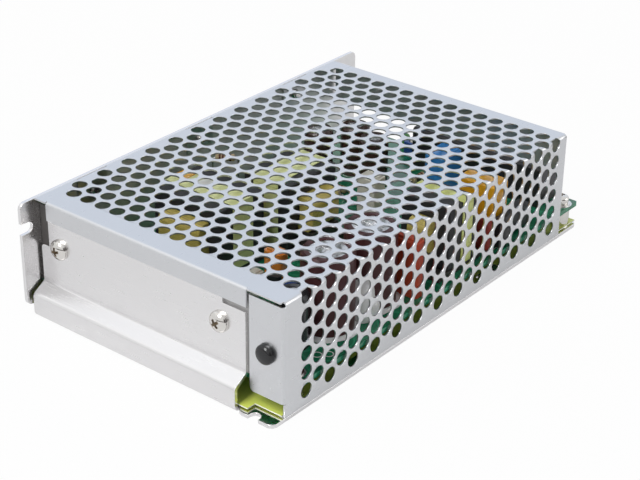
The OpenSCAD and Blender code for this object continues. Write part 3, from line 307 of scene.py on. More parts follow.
finishes = {
    "zincPlate": {"colour": (0.668, 0.677, 0.695), "second": (0.690, 0.699, 0.717), "rough": (0.27, 0.31),
                  "metal": 1.0, "patch": (40, 14, 40), "grain": (1500, 160, 1500), "bump": 0.0000015,
                  "matt": {"way": (0, -1, 0), "within": (0.060, 0.070), "more": 1.9}},
    "rolledAluminium": {"colour": (0.806, 0.797, 0.801), "second": (0.826, 0.817, 0.821), "rough": (0.24, 0.28),
                        "metal": 1.0, "patch": (14, 40, 40), "grain": (120, 1900, 1900), "bump": 0.0000012,
                        "polish": 0.6, "matt": {"way": (1, 0, 0), "within": (-0.070, -0.050), "more": 2.1}},
    "nickelScrew": {"colour": (0.72, 0.70, 0.665), "second": (0.77, 0.75, 0.72), "rough": (0.08, 0.12),
                    "metal": 1.0, "grain": 900, "bump": 0.000003},
    # painted shade: the faces cut by the cross recesses take this darker, browner metal
    "recessShade": {"colour": (0.40, 0.34, 0.26), "second": (0.48, 0.41, 0.32), "rough": (0.35, 0.5),
                    "metal": 1.0, "grain": 1500, "bump": 0.00001},
    "tinnedBrass": {"colour": (0.72, 0.72, 0.71), "second": (0.80, 0.79, 0.77), "rough": (0.18, 0.30),
                    "metal": 1.0, "grain": 1200, "bump": 0.00001},
    "canAluminium": {"colour": (0.74, 0.74, 0.75), "second": (0.82, 0.82, 0.82), "rough": (0.2, 0.32),
                     "metal": 1.0, "grain": (700, 700, 2500), "bump": 0.00001},
    "blackNylon": {"colour": (0.011, 0.011, 0.012), "second": (0.014, 0.014, 0.015), "rough": (0.09, 0.13),
                   "grain": 700, "bump": 0.000004},
    "blackEpoxy": {"colour": (0.02, 0.02, 0.022), "second": (0.03, 0.03, 0.032), "rough": (0.4, 0.55),
                   "grain": 2600, "bump": 0.00002},
    "blockPlastic": {"colour": (0.018, 0.018, 0.02), "second": (0.028, 0.028, 0.03), "rough": (0.32, 0.46),
                     "grain": 2200, "bump": 0.00002},
    # painted shade and painted light: the same silicone is painted dark on the left pad, which sits in shade, and
    # pale grey on the right pad, where light falls
    "padSilicone": {"colour": (0.062, 0.057, 0.054), "second": (0.080, 0.074, 0.070), "rough": (0.5, 0.7),
                    "grain": 1800, "bump": 0.00001,
                    "along": {"axis": "X", "from": -0.01, "to": 0.01, "colour": (0.42, 0.415, 0.41)}},
    # painted highlight: the film's cut edges, where the normal lies level, are painted near white
    "sheetFilm": {"colour": (0.72, 0.80, 0.14), "second": (0.77, 0.85, 0.17), "rough": (0.16, 0.28),
                  "grain": 300, "bump": 0.00001, "coat": 0.4, "edge": (0.86, 0.88, 0.72)},
    "ferrite": {"colour": (0.019, 0.020, 0.022), "second": (0.030, 0.030, 0.033), "rough": (0.46, 0.62),
                "grain": 1500, "bump": 0.00003},
    "bobbinResin": {"colour": (0.03, 0.026, 0.023), "second": (0.045, 0.04, 0.035), "rough": (0.35, 0.5),
                    "grain": 1800, "bump": 0.00002},
    "maroonSleeve": {"colour": (0.072, 0.024, 0.026), "second": (0.095, 0.032, 0.034), "rough": (0.30, 0.40),
                     "grain": (500, 500, 120), "bump": 0.00002, "gloss": 0.3,
                     "stripe": {"way": (-0.6, 0.8, 0), "within": (0.90, 0.92), "colour": (0.62, 0.58, 0.50)}},
    "brownSleeve": {"colour": (0.016, 0.017, 0.020), "second": (0.022, 0.023, 0.027), "rough": (0.16, 0.24),
                    "grain": (500, 500, 120), "bump": 0.00002, "coat": 0.4,
                    "along": {"axis": "Y", "from": -0.044, "to": -0.042, "colour": (0.062, 0.030, 0.023)},
                    "stripe": {"way": (-0.6, 0.8, 0), "within": (0.88, 0.90), "colour": (0.60, 0.55, 0.42)}},
    "whiteSilicone": {"colour": (0.86, 0.86, 0.85), "second": (0.90, 0.90, 0.89), "rough": (0.3, 0.45),
                      "grain": 500, "bump": 0.00006, "soft": 0.3},
    "blueEpoxy": {"colour": (0.040, 0.235, 0.62), "second": (0.05, 0.28, 0.70), "rough": (0.12, 0.22),
                  "grain": 600, "bump": 0.00003, "coat": 0.5},
    "violetEpoxy": {"colour": (0.018, 0.052, 0.21), "second": (0.024, 0.066, 0.26), "rough": (0.22, 0.32),
                    "grain": 600, "bump": 0.00003, "gloss": 0.15},
    "amberWrap": {"colour": (0.76, 0.36, 0.014), "second": (0.82, 0.42, 0.02), "rough": (0.14, 0.24),
                  "grain": 400, "bump": 0.00002, "coat": 0.5},
    "redEpoxy": {"colour": (0.46, 0.070, 0.034), "second": (0.54, 0.090, 0.042), "rough": (0.34, 0.44),
                 "grain": 600, "bump": 0.00003, "gloss": 0.2},
    "maroonEpoxy": {"colour": (0.27, 0.040, 0.030), "second": (0.33, 0.052, 0.038), "rough": (0.30, 0.40),
                    "grain": 600, "bump": 0.00003, "gloss": 0.2},
    "orangeEpoxy": {"colour": (0.74, 0.24, 0.035), "second": (0.80, 0.29, 0.05), "rough": (0.16, 0.26),
                    "grain": 600, "bump": 0.00003, "coat": 0.5},
    "ceramicWhite": {"colour": (0.70, 0.67, 0.58), "second": (0.76, 0.74, 0.66), "rough": (0.55, 0.75),
                     "grain": 1300, "bump": 0.00004},
    "trimmerBlue": {"colour": (0.025, 0.085, 0.32), "second": (0.03, 0.10, 0.36), "rough": (0.3, 0.45),
                    "grain": 1800, "bump": 0.00002},
    "rotorWhite": {"colour": (0.76, 0.74, 0.66), "second": (0.80, 0.78, 0.72), "rough": (0.35, 0.5),
                   "grain": 1800, "bump": 0.00002},
    "lampGreen": {"colour": (0.14, 0.42, 0.12), "second": (0.17, 0.47, 0.14), "rough": (0.06, 0.12),
                  "grain": 500, "through": 0.5},
    "solderTin": {"colour": (0.66, 0.66, 0.66), "second": (0.75, 0.75, 0.74), "rough": (0.14, 0.30),
                  "metal": 1.0, "grain": 1400, "bump": 0.00002},
    "resistorBeige": {"colour": (0.62, 0.47, 0.27), "second": (0.68, 0.53, 0.32), "rough": (0.25, 0.4),
                      "grain": 900, "bump": 0.00003, "coat": 0.3},
    "bandBrown": {"colour": (0.11, 0.035, 0.015), "second": (0.15, 0.05, 0.02), "rough": (0.3, 0.42),
                  "grain": 900, "bump": 0.00001},
    "bandSilver": {"colour": (0.52, 0.52, 0.51), "second": (0.60, 0.60, 0.59), "rough": (0.3, 0.42),
                   "grain": 900, "bump": 0.00001},
    "silkWhite": {"colour": (0.76, 0.78, 0.75), "second": (0.84, 0.85, 0.83), "rough": (0.45, 0.6),
                  "grain": 900, "bump": 0.00001},
}
finish = {name: plainFinish(name, spec, plainFit) for name, spec in finishes.items()}

# turns of tape: thin lap lines up the belt, a gentle waviness
tapes = {
    "beltTape": {"colour": (0.83, 0.88, 0.37), "second": (0.88, 0.92, 0.45), "lap": (0.70, 0.73, 0.26), "laps": 60},
    "limeTape": {"colour": (0.74, 0.80, 0.21), "second": (0.80, 0.86, 0.27), "lap": (0.60, 0.64, 0.14), "laps": 60},
    "windingTape": {"colour": (0.62, 0.50, 0.12), "second": (0.70, 0.58, 0.17), "lap": (0.42, 0.30, 0.07),
                    "laps": 240},
}
tapeFit = {"startRough": 0.3, "rough": (0.2, 0.34), "patch": 180, "waver": 0.6, "lapFrom": (0.86, 1.0),
           "bump": 0.00005, "bumpShare": 0.5, "coat": 0.4, "coatRough": 0.15}


def tapeFinish(name, spec, fit):
    made, tree, shader = startFinish(name, spec["colour"], fit["startRough"])
    laps = tree.nodes.new("ShaderNodeTexWave")
    laps.wave_type = "BANDS"
    laps.bands_direction = "Z"
    laps.wave_profile = "SAW"
    fill(laps, {"Scale": spec["laps"], "Distortion": fit["waver"], "Detail": 1.0})
    tree.links.new(placeOn(tree), laps.inputs["Vector"])
    slow = noiseOn(tree, fit["patch"], detail=3.0)
    base = twoColours(tree, spread(tree, slow, 0, 1), spec["colour"], spec["second"])
    lap = spread(tree, laps.outputs["Fac"], 0, 1, *fit["lapFrom"])
    tree.links.new(twoColours(tree, lap, base, spec["lap"]), shader.inputs["Base Color"])
    tree.links.new(spread(tree, slow, *fit["rough"]), shader.inputs["Roughness"])
    lift(tree, shader, laps.outputs["Fac"], fit["bump"], fit["bumpShare"])
    fill(shader, {"Coat Weight": fit["coat"], "Coat Roughness": fit["coatRough"]})
    return made


for name, spec in tapes.items():
    finish[name] = tapeFinish(name, spec, tapeFit)

# solder resist over copper: paler tracks in a network
resist = {"colour": (0.011, 0.175, 0.085), "second": (0.016, 0.205, 0.102), "track": (0.028, 0.275, 0.145),
          "network": 150, "trackEdge": (0.05, 0.075), "startRough": 0.25, "rough": (0.16, 0.3), "patch": 90,
          "bump": 0.00003, "bumpShare": 0.6, "coat": 0.3, "coatRough": 0.2}


def boardFinish(name, spec):
    made, tree, shader = startFinish(name, spec["colour"], spec["startRough"])
    cells = tree.nodes.new("ShaderNodeTexVoronoi")
    cells.feature = "DISTANCE_TO_EDGE"
    fill(cells, {"Scale": spec["network"]})
    tree.links.new(placeOn(tree), cells.inputs["Vector"])
    tracks = spread(tree, cells.outputs["Distance"], 1, 0, *spec["trackEdge"])
    slow = noiseOn(tree, spec["patch"], detail=3.0)
    base = twoColours(tree, spread(tree, slow, 0, 1), spec["colour"], spec["second"])
    tree.links.new(twoColours(tree, tracks, base, spec["track"]), shader.inputs["Base Color"])
    tree.links.new(spread(tree, slow, *spec["rough"]), shader.inputs["Roughness"])
    lift(tree, shader, tracks, spec["bump"], spec["bumpShare"])
    fill(shader, {"Coat Weight": spec["coat"], "Coat Roughness": spec["coatRough"]})
    return made


finish["boardResist"] = boardFinish("boardResist", resist)
print("finishes:", len(finish))

# shaping tools, sizes in millimetres
mergeNear, nodeMergeNear = 2e-7, 1e-6
flatWithin = 0.8
proud = 1
ends = (-1, 1)


def tidied(bm):
    bmesh.ops.remove_doubles(bm, verts=bm.verts[:], dist=mergeNear)
    bmesh.ops.recalc_face_normals(bm, faces=bm.faces[:])
    return bm


def moved(x, y, z):
    return Matrix.Translation(Vector((x, y, z)) * mm)


def turned(degrees, axis):
    return Matrix.Rotation(math.radians(degrees), 4, axis)


# the shape itself turned about the origin
def spun(bm, degrees, axis):
    bmesh.ops.rotate(bm, cent=(0, 0, 0), matrix=turned(degrees, axis).to_3x3(), verts=bm.verts[:])
    return bm


def boxOf(node):
    return [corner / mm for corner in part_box(node)]


def centreOf(low, high):
    return (low + high) / 2


boardTop = boxOf("circuit_board")[1].z


# turned shape from (radius, height) pairs
def lathe(profile, steps, ring=False):
    bm = bmesh.new()
    line = [bm.verts.new((r * mm, 0, z * mm)) for r, z in profile]
    edges = [bm.edges.new(pair) for pair in zip(line, line[1:])]
    if ring:
        edges.append(bm.edges.new((line[-1], line[0])))
    bmesh.ops.spin(bm, geom=line + edges, cent=(0, 0, 0), axis=(0, 0, 1), angle=math.tau, steps=steps,
                   use_merge=True)
    return tidied(bm)


def flatRing(inner, outer, thick, steps=40):
    return lathe([(inner, 0), (outer, 0), (outer, thick), (inner, thick)], steps, ring=True)


# box, its lower end narrowed by the taper
def block(size, centre, taper=(1, 1)):
    bm = bmesh.new()
    bmesh.ops.create_cube(bm, size=mm)
    bmesh.ops.scale(bm, vec=size, verts=bm.verts[:])
    bmesh.ops.scale(bm, vec=(*taper, 1), verts=[v for v in bm.verts if v.co.z < 0])
    bmesh.ops.translate(bm, vec=Vector(centre) * mm, verts=bm.verts[:])
    return bm


def roundEdges(bm, width, segments=2, angle=35, chosen=None):
    sharp = [e for e in bm.edges if len(e.link_faces) == 2 and e.calc_face_angle() > math.radians(angle)
             and (chosen is None or chosen(e))]
    bmesh.ops.bevel(bm, geom=sharp, offset=width * mm, offset_type="OFFSET", segments=segments, profile=0.5,
                    affect="EDGES", clamp_overlap=True, material=-1)
    return bm


# chooses the upright edges of a plate
def standing(thick):
    return lambda e: abs(e.verts[0].co.z - e.verts[1].co.z) > 0.5 * thick * mm


def join(target, part, move=Matrix.Identity(4)):
    bmesh.ops.transform(part, matrix=move, verts=part.verts[:])
    carrier = meshFrom("carrier", part)
    target.from_mesh(carrier)
    bpy.data.meshes.remove(carrier)


# a helper object with two finish slots, so that a cut can keep its own
def parked(name, bm):
    mesh = meshFrom(name, bm)
    for look in ("nickelScrew", "recessShade"):
        mesh.materials.append(finish[look])
    return linked(name, mesh)


# an object as its modifiers or bevel leave it, as a new bmesh
def asBuilt(held):
    graph = bpy.context.evaluated_depsgraph_get()
    mesh = bpy.data.meshes.new_from_object(held.evaluated_get(graph))
    bm = bmesh.new()
    bm.from_mesh(mesh)
    bpy.data.meshes.remove(mesh)
    return bm


def settled(held, helpers=()):
    bm = asBuilt(held)
    for used in (held, *helpers):
        data = used.data
        bpy.data.objects.remove(used)
        bpy.data.meshes.remove(data)
    return bm


def oneFinish(bm):
    for face in bm.faces:
        face.material_index = 0
    return bm


# cut faces take the piece's second finish where it has one
def cutAway(solid, cutters):
    held = parked("cutBody", solid)
    for cutter in cutters:
        for face in cutter.faces:
            face.material_index = 1
    tools = [parked("cutTool", cutter) for cutter in cutters]
    for tool in tools:
        bite = held.modifiers.new("bite", "BOOLEAN")
        bite.operation = "DIFFERENCE"
        bite.solver = "EXACT"
        bite.object = tool
    return settled(held, tools)


def wire(points, radius):
    curve = bpy.data.curves.new("wireRun", "CURVE")
    curve.dimensions = "3D"
    curve.bevel_depth = radius * mm
    curve.bevel_resolution = 1
    curve.use_fill_caps = True
    run = curve.splines.new("POLY")
    run.points.add(len(points) - 1)
    for point, place in zip(run.points, points):
        point.co = (*(Vector(place) * mm), 1)
    held = linked("wireRun", curve)
    bm = asBuilt(held)
    bpy.data.objects.remove(held)
    bpy.data.curves.remove(curve)
    return bm


def newPiece(name, bm, look, slot, body="enclosure", stands=(), angle=40):
    mesh = meshFrom(name, tidied(bm))
    for each in look.split():
        mesh.materials.append(finish[each])
    mesh.shade_smooth()
    mesh.set_sharp_from_angle(angle=math.radians(angle))
    piece = linked(name, mesh)
    even = piece.modifiers.new("evenShade", "WEIGHTED_NORMAL")
    even.keep_sharp = True
    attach(piece, body)
    if stands:
        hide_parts(*stands)
    return piece


def mergedCopy(node):
    bm = bmesh.new()
    bm.from_mesh(nodes[node].data)
    bmesh.ops.remove_doubles(bm, verts=bm.verts[:], dist=nodeMergeNear)
    return bm


# a merged copy with flat faces made whole, except in the perforated sheet, where that is slow
def nodeCopy(node):
    bm = mergedCopy(node)
    if node != "cover":
        bmesh.ops.dissolve_limit(bm, angle_limit=math.radians(flatWithin), verts=bm.verts[:], edges=bm.edges[:])
    return bm


# boxes of a node's separate solids, from left to right
def islands(node):
    bm = mergedCopy(node)
    left, found = set(bm.verts), []
    while left:
        first = left.pop()
        group, edge = [first], [first]
        while edge:
            for link in edge.pop().link_edges:
                for vert in link.verts:
                    if vert in left:
                        left.discard(vert)
                        group.append(vert)
                        edge.append(vert)
        low = Vector([min(v.co[i] for v in group) for i in range(3)]) / mm
        high = Vector([max(v.co[i] for v in group) for i in range(3)]) / mm
        found.append((low, high))
    bm.free()
    return sorted(found, key=lambda pair: (round(pair[0].x, 2), round(pair[0].y, 2)))


# round crown that runs into a tighter round edge: radius of each
def crownLine(head, height, crown, edge, steps=8):
    flat = (head / 2 - edge) / (1 - edge / crown)
    lean = math.asin(flat / crown)
    leans = [lean * i / steps for i in range(steps + 1)]
    line = [(crown * math.sin(a), height - crown * (1 - math.cos(a))) for a in leans]
    line[0] = (0, height)
    brow = line[-1][1] - edge * math.cos(lean)
    for i in range(1, steps + 1):
        turn = lean + (math.radians(90) - lean) * i / steps
        line.append((head / 2 - edge + edge * math.sin(turn), brow + edge * math.cos(turn)))
    return line


# screw thread as rings, down to a blunt tip
thread = {"pitch": 0.5, "plain": 0.6, "crest": 0.22, "tip": 0.3, "tipIn": 0.45, "rim": 0.12}
tipSizes = ("crest", "tip", "tipIn")


def threadLine(radius, start, length, crest, tip, tipIn):
    line, depth = [], start
    while depth + thread["pitch"] < length - tip:
        line += [(radius, -depth), (radius - crest, -depth - thread["pitch"] / 2)]
        depth += thread["pitch"]
    return line + [(radius - crest, tip - length), (radius - tipIn, -length), (0, -length)]


# pan head standing on z = 0, threaded shank below it
def headProfile(spec):
    rim, shank = spec["head"] / 2, spec["shank"] / 2
    line = crownLine(spec["head"], spec["height"], spec["crown"], spec["edge"])
    line += [(rim, thread["rim"]), (rim - thread["rim"], 0), (shank, 0)]
    return line + threadLine(shank, thread["plain"], spec["length"], *[thread[key] for key in tipSizes])


# two tapered blades that cut a cross recess from above
bladeTaper = (0.42, 0.72)


def crossBlades(long, wide, deep, top, turn=0):
    size, middle = (long, wide, deep + proud), (0, 0, top + (proud - deep) / 2)
    return [spun(block(size, middle, bladeTaper), quarter + turn, "Z") for quarter in (0, 90)]


screwLook = ("nickelScrew recessShade", "plated_steel")

# pan screws in the end panel
endScrew = {"head": 6.55, "height": 2.3, "crown": 4.4, "edge": 1.25, "shank": 3.0, "length": 6.1,
            "cross": (4.1, 1.0, 1.5), "turns": (12, 38), "seat": 2.5}


def makeEndScrews(spec):
    bm = bmesh.new()
    for (low, high), turn in zip(islands("end_screws"), spec["turns"]):
        shape = cutAway(lathe(headProfile(spec), steps=56), crossBlades(*spec["cross"], spec["height"], turn))
        mid = centreOf(low, high)
        join(bm, shape, moved(mid.x, low.y + spec["seat"], mid.z) @ turned(90, "X"))
    newPiece("endPanScrews", bm, *screwLook, stands=("end_screws",))


makeEndScrews(endScrew)

# board screws, each on a split spring washer and a flat washer: outside, thickness and rounding of each
boardScrew = {"head": 5.2, "height": 2.2, "crown": 3.8, "edge": 1.0, "shank": 3.0, "length": 6.8,
              "cross": (3.3, 0.85, 1.3), "turns": (25, 5, 60, 32), "bore": 3.3,
              "flat": (6.1, 0.4, 0.08), "spring": (4.8, 0.8, 0.12), "slit": (3, 0.35, 3),
              "slitLean": 28, "slitTurns": 5}


def makeBoardScrews(spec):
    screws, washers = bmesh.new(), bmesh.new()
    bore = spec["bore"] / 2
    for (low, high), turn in zip(islands("board_screws"), spec["turns"]):
        mid = centreOf(low, high)
        seat = high.z - spec["height"]
        shape = cutAway(lathe(headProfile(spec), steps=40), crossBlades(*spec["cross"], spec["height"], turn))
        join(screws, shape, moved(mid.x, mid.y, seat))
        wide, thick, edge = spec["spring"]
        coil = roundEdges(flatRing(bore, wide / 2, thick), edge)
        coil = cutAway(coil, [spun(block(spec["slit"], (wide / 2, 0, thick / 2)), spec["slitLean"], "X")])
        join(washers, coil, moved(mid.x, mid.y, seat - thick) @ turned(turn * spec["slitTurns"], "Z"))
        wide, under, edge = spec["flat"]
        plate = roundEdges(flatRing(bore, wide / 2, under), edge)
        join(washers, plate, moved(mid.x, mid.y, seat - thick - under))
    newPiece("boardPanScrews", screws, *screwLook, stands=("board_screws",))
    newPiece("boardWashers", washers, "nickelScrew", "plated_steel", stands=("board_washers",))


makeBoardScrews(boardScrew)

# countersunk screws of the cover, flush in the chassis wall
coverScrew = {"head": 5.4, "rim": 0.08, "cone": 1.1, "shank": 3.0, "length": 3.2, "plain": 0.2,
              "crest": 0.2, "tip": 0.2, "tipIn": 0.4, "cross": (2.9, 0.8, 0.9), "turns": (15, 50, 75)}


def makeCoverScrews(spec):
    bm = bmesh.new()
    wide, neck = spec["head"] / 2, spec["shank"] / 2
    profile = [(0, 0), (wide - spec["rim"], 0), (wide, -spec["rim"]), (neck, -spec["cone"])]
    start = spec["cone"] + spec["plain"]
    profile += threadLine(neck, start, spec["length"], *[spec[key] for key in tipSizes])
    for (low, high), turn in zip(islands("cover_screws"), spec["turns"]):
        shape = cutAway(lathe(profile, steps=40), crossBlades(*spec["cross"], 0, turn))
        mid = centreOf(low, high)
        join(bm, shape, moved(low.x, mid.y, mid.z) @ turned(-90, "Y"))
    newPiece("coverScrews", bm, *screwLook, stands=("cover_screws",))


makeCoverScrews(coverScrew)

# clamp screws of the terminals, each slotted and crossed, with its captive square washer
clampScrew = {"count": 5, "head": 5.8, "height": 2.0, "crown": 5.0, "edge": 1.0, "shank": 3.0, "length": 5.6,
              "cross": (3.6, 0.9, 1.2), "slot": (0.8, 0.9), "turnEach": 17,
              "washer": (6.6, 0.8), "corner": 0.7, "washerEdge": 0.12, "groove": 0.5, "grooveAt": 2.4}


def makeClampScrew(number, spec):
    node = "terminal_screw_%d" % number
    low, high = boxOf(node)
    seat = high.z - spec["height"]
    turn = spec["turnEach"] * number
    wide, deep = spec["slot"]
    slot = block((spec["head"] + 2 * proud, wide, deep + proud), (0, 0, spec["height"] + (proud - deep) / 2))
    cutters = [spun(slot, turn, "Z")] + crossBlades(*spec["cross"], spec["height"], turn)
    bm = bmesh.new()
    mid = centreOf(low, high)
    join(bm, cutAway(lathe(headProfile(spec), steps=40), cutters), moved(mid.x, mid.y, seat))
    side, thick = spec["washer"]
    plate = block((side, side, thick), (0, 0, -thick / 2))
    roundEdges(plate, spec["corner"], segments=3, chosen=standing(thick))
    roundEdges(plate, spec["washerEdge"])
    groove = (side * 2, spec["groove"], spec["groove"])
    plate = cutAway(plate, [block(groove, (0, s * spec["grooveAt"], -thick)) for s in ends])
    join(bm, plate, moved(mid.x, mid.y, seat))
    newPiece("clampScrew%d" % number, bm, *screwLook, "clamp_%d" % number, (node,))


for number in range(1, clampScrew["count"] + 1):
    makeClampScrew(number, clampScrew)

# push rivet: smooth domed head, split shank behind the flange
pushRivet = {"head": 6.1, "height": 2.2, "crown": 8.0, "edge": 1.4, "rim": 0.15, "neck": 3.4, "neckLong": 0.6,
             "barb": 4.2, "barbAt": 0.75, "tip": 2.8, "tipEdge": 0.2, "length": 3.7,
             "split": (0.8, 8, 3), "splitFrom": 1.1, "seat": 2.2}


def makeRivet(spec):
    low, high = boxOf("push_rivet")
    wide, neck, tip = spec["head"] / 2, spec["neck"] / 2, spec["tip"] / 2
    line = crownLine(spec["head"], spec["height"], spec["crown"], spec["edge"])
    line += [(wide, spec["rim"]), (wide - spec["rim"], 0), (neck, 0), (neck, -spec["neckLong"]),
             (spec["barb"] / 2, -spec["barbAt"]), (tip, spec["tipEdge"] - spec["length"]),
             (tip - spec["tipEdge"], -spec["length"]), (0, -spec["length"])]
    shape = cutAway(lathe(line, steps=64), [block(spec["split"], (0, 0, -spec["splitFrom"] - spec["split"][2] / 2))])
    bm = bmesh.new()
    mid = centreOf(low, high)
    join(bm, shape, moved(mid.x, low.y + spec["seat"], mid.z) @ turned(90, "X"))
    newPiece("pushRivet", bm, "blackNylon", "black_plastic", stands=("push_rivet",))


makeRivet(pushRivet)
print("fasteners made")

# nodes that keep their shape, with their edges eased: width, finish, slot, and where they differ steps and angle
eased = {
    "chassis": (0.13, "rolledAluminium", "chassis_aluminium"),
    "cover": (0.1, "zincPlate", "cover_steel", 1, 50),
    "terminal_block": (0.22, "blockPlastic", "black_plastic"),
    "terminal_plates": (0.12, "tinnedBrass", "tinned_metal"),
    "transformer_core": (0.4, "ferrite", "ferrite"),
    "output_choke_core": (0.4, "ferrite", "ferrite"),
    "input_choke_core": (0.35, "ferrite", "ferrite"),
    "transformer_belt": (0.14, "beltTape", "tape"),
    "output_choke_belt": (0.14, "beltTape", "tape"),
    "input_choke_belt": (0.14, "limeTape", "tape"),
    "device_bodies": (0.2, "blackEpoxy", "epoxy_black"),
    "device_tabs": (0.1, "tinnedBrass", "tinned_metal"),
    "end_nuts": (0.2, "nickelScrew", "plated_steel"),
    "blue_capacitor": (0.5, "blueEpoxy", "blue_epoxy"),
    "amber_capacitor": (0.45, "amberWrap", "amber_film"),
    "red_capacitor": (0.45, "redEpoxy", "red_epoxy"),
    "orange_capacitor": (0.3, "orangeEpoxy", "orange_epoxy"),
    "disc_capacitor": (0.3, "violetEpoxy", "blue_epoxy"),
    "ceramic_resistor": (0.3, "ceramicWhite", "ceramic_white"),
    "trimmer_body": (0.2, "trimmerBlue", "trimmer_blue"),
    "control_chip": (0.12, "blackEpoxy", "epoxy_black"),
    "bulk_cans": (0.08, "canAluminium", "can_aluminium"),
    "small_cans": (0.08, "canAluminium", "can_aluminium"),
    "fuse_caps": (0.08, "tinnedBrass", "tinned_metal"),
}
woundParts = ("transformer", "output_choke", "input_choke")
for wound in woundParts:
    eased[wound + "_winding"] = (0.5, "windingTape", "winding_tape")
    eased[wound + "_bobbin"] = (0.25, "bobbinResin", "bobbin_plastic")


def easeNode(node, width, look, slot, steps=2, angle=40):
    bm = nodeCopy(node)
    roundEdges(bm, width, steps)
    words = node.split("_")
    name = words[0] + "".join(w.capitalize() for w in words[1:]) + "Eased"
    newPiece(name, bm, look, slot, stands=(node,), angle=angle)


for node, spec in eased.items():
    easeNode(node, *spec)
print("eased:", len(eased), "nodes")

# nodes shown as they are
dress = {
    "insulator_pads": "padSilicone",
    "insulating_sheet": "sheetFilm",
    "circuit_board": "boardResist",
    "standoffs": "nickelScrew",
    "bulk_sleeves": "maroonSleeve",
    "small_sleeves": "brownSleeve",
    "fuse_body": "ceramicWhite",
    "trimmer_rotor": "rotorWhite",
    "indicator_lamp": "lampGreen",
}
for node, look in dress.items():
    mesh = nodes[node].data
    mesh.materials.clear()
    mesh.materials.append(finish[look])
print("dressed:", len(dress), "nodes")

# silicone: the bead between the large capacitors, and a ragged fillet round the foot of each
silicone = {"voxel": 0.35, "slump": 0.5, "rounds": 6,
            "lumps": [(40.8, -25.4, 12.7, 3.1, 2.7, 4.0), (39.0, -28.2, 14.5, 3.0, 2.4, 3.4)],
            "foot": [(8.05, 0), (9.7, 0), (9.5, 0.22), (9.1, 0.4), (8.6, 0.6), (8.05, 0.9)],
            "raggedFrom": 8.3, "waves": 2.2, "outBy": 0.7, "upBy": 0.6}


def makeSilicone(spec):
    blank = nodeCopy("glue_bead")
    for x, y, z, *size in spec["lumps"]:
        lump = bmesh.new()
        bmesh.ops.create_icosphere(lump, subdivisions=3, radius=mm)
        bmesh.ops.scale(lump, vec=size, verts=lump.verts[:])
        join(blank, lump, moved(x, y, z))
    held = parked("beadBlank", blank)
    cast = held.modifiers.new("cast", "REMESH")
    cast.mode = "VOXEL"
    cast.voxel_size = spec["voxel"] * mm
    slump = held.modifiers.new("slump", "SMOOTH")
    slump.factor = spec["slump"]
    slump.iterations = spec["rounds"]
    bead = oneFinish(settled(held))
    newPiece("siliconeBead", bead, "whiteSilicone", "glue", stands=("glue_bead",), angle=180)
    bm = bmesh.new()
    for low, high in islands("bulk_cans"):
        foot = lathe(spec["foot"], steps=64, ring=True)
        for vert in foot.verts:
            reach = vert.co.xy.length
            if reach > spec["raggedFrom"] * mm:
                way = vert.co.xy / reach
                wave = noise.noise(Vector((way.x * spec["waves"], way.y * spec["waves"], low.y)))
                vert.co.xy = way * (reach + spec["outBy"] * wave * mm)
                vert.co.z *= 1 + spec["upBy"] * wave
        mid = centreOf(low, high)
        join(bm, foot, moved(mid.x, mid.y, boardTop))
    newPiece("siliconeFeet", bm, "whiteSilicone", "glue", angle=60)


makeSilicone(silicone)

# on the output choke: a blank paper label, and a strip of amber tape folded over its edge
paperLabel = {"at": (-22.6, -26.2), "size": (7.5, 5.6), "thick": 0.08, "corner": 0.6}
amberTape = {"y": -26.3, "wide": 4.2, "top": 5.0, "drop": 3.6, "thick": 0.12}


def makeLabel(spec):
    thick = spec["thick"]
    bm = block((*spec["size"], thick), (*spec["at"], boxOf("output_choke_belt")[1].z + thick / 2))
    roundEdges(bm, spec["corner"], segments=3, chosen=standing(thick))
    newPiece("chokeLabel", bm, "silkWhite", "ceramic_white")


def makeAmberTape(spec):
    low, high = boxOf("output_choke_belt")
    thick, wide, top, drop = spec["thick"], spec["wide"], spec["top"], spec["drop"]
    bm = block((top + thick, wide, thick), (low.x + (top - thick) / 2, spec["y"], high.z + thick / 2))
    join(bm, block((thick, wide, drop), (low.x - thick / 2, spec["y"], high.z - drop / 2)))
    newPiece("chokeAmberTape", bm, "amberWrap", "amber_film")


makeLabel(paperLabel)
makeAmberTape(amberTape)

# small parts on leads. end: radius and distance from the end of the body. waist: share of the radius between
# the ends, and where it starts. at: x, y, turn, lead span, and how far a hot one is raised
axials = {
    "resistor": {"long": 6.4, "thick": 2.4, "wire": 0.3, "look": "resistorBeige", "slot": "ceramic_white",
                 "end": [(0, 0), (0.9, 0), (1.2, 0.35), (1.2, 1.2), (1.08, 1.6)], "waist": (0.9, 1.6),
                 "band": "bandBrown", "bandSlot": "winding_tape", "bands": (-0.28, -0.12, 0.04, 0.26),
                 "at": [(-40.6, 2.3, 40, 8.4, 15.4), (-14, -55, 0, 10), (-14, -58.5, 0, 10), (-14, -62, 0, 10),
                        (5, -52, 90, 10), (9, -52, 90, 10), (14, -8, 90, 10), (18, -8, 90, 10), (-18, 30, 0, 10),
                        (-18, 33.5, 0, 10), (0, 26, 90, 10), (26, 58, 0, 10), (26, 54.5, 0, 10), (-2, 57, 90, 10)]},
    "diode": {"long": 4.4, "thick": 2.2, "wire": 0.35, "look": "blackEpoxy", "slot": "epoxy_black",
              "end": [(0, 0), (0.95, 0), (1.1, 0.15)], "waist": (1, 0),
              "band": "bandSilver", "bandSlot": "tinned_metal", "bands": (0.3,),
              "at": [(-26, -58, 90, 9), (13, -56, 0, 9), (-40, -40, 90, 9), (-40, -28, 90, 9), (18, 22, 90, 9),
                     (18, 34, 90, 9), (34, 56, 90, 9)]},
}
axialFit = {"clear": 0.3, "bandHalf": 0.32, "bandProud": 0.03, "bandDeep": 0.2, "inside": 0.3, "bend": 0.5}
jumpers = {"wire": 0.3, "rise": 0.7, "knee": 0.6, "bend": 0.4,
           "at": [(-2, -50, 0, 12), (-25, 20, 90, 12), (12, 2, 0, 10), (-8, 18, 0, 12), (32, 50, 0, 9)]}
leadThrough = 0.2
leadEnd = boardTop - leadThrough


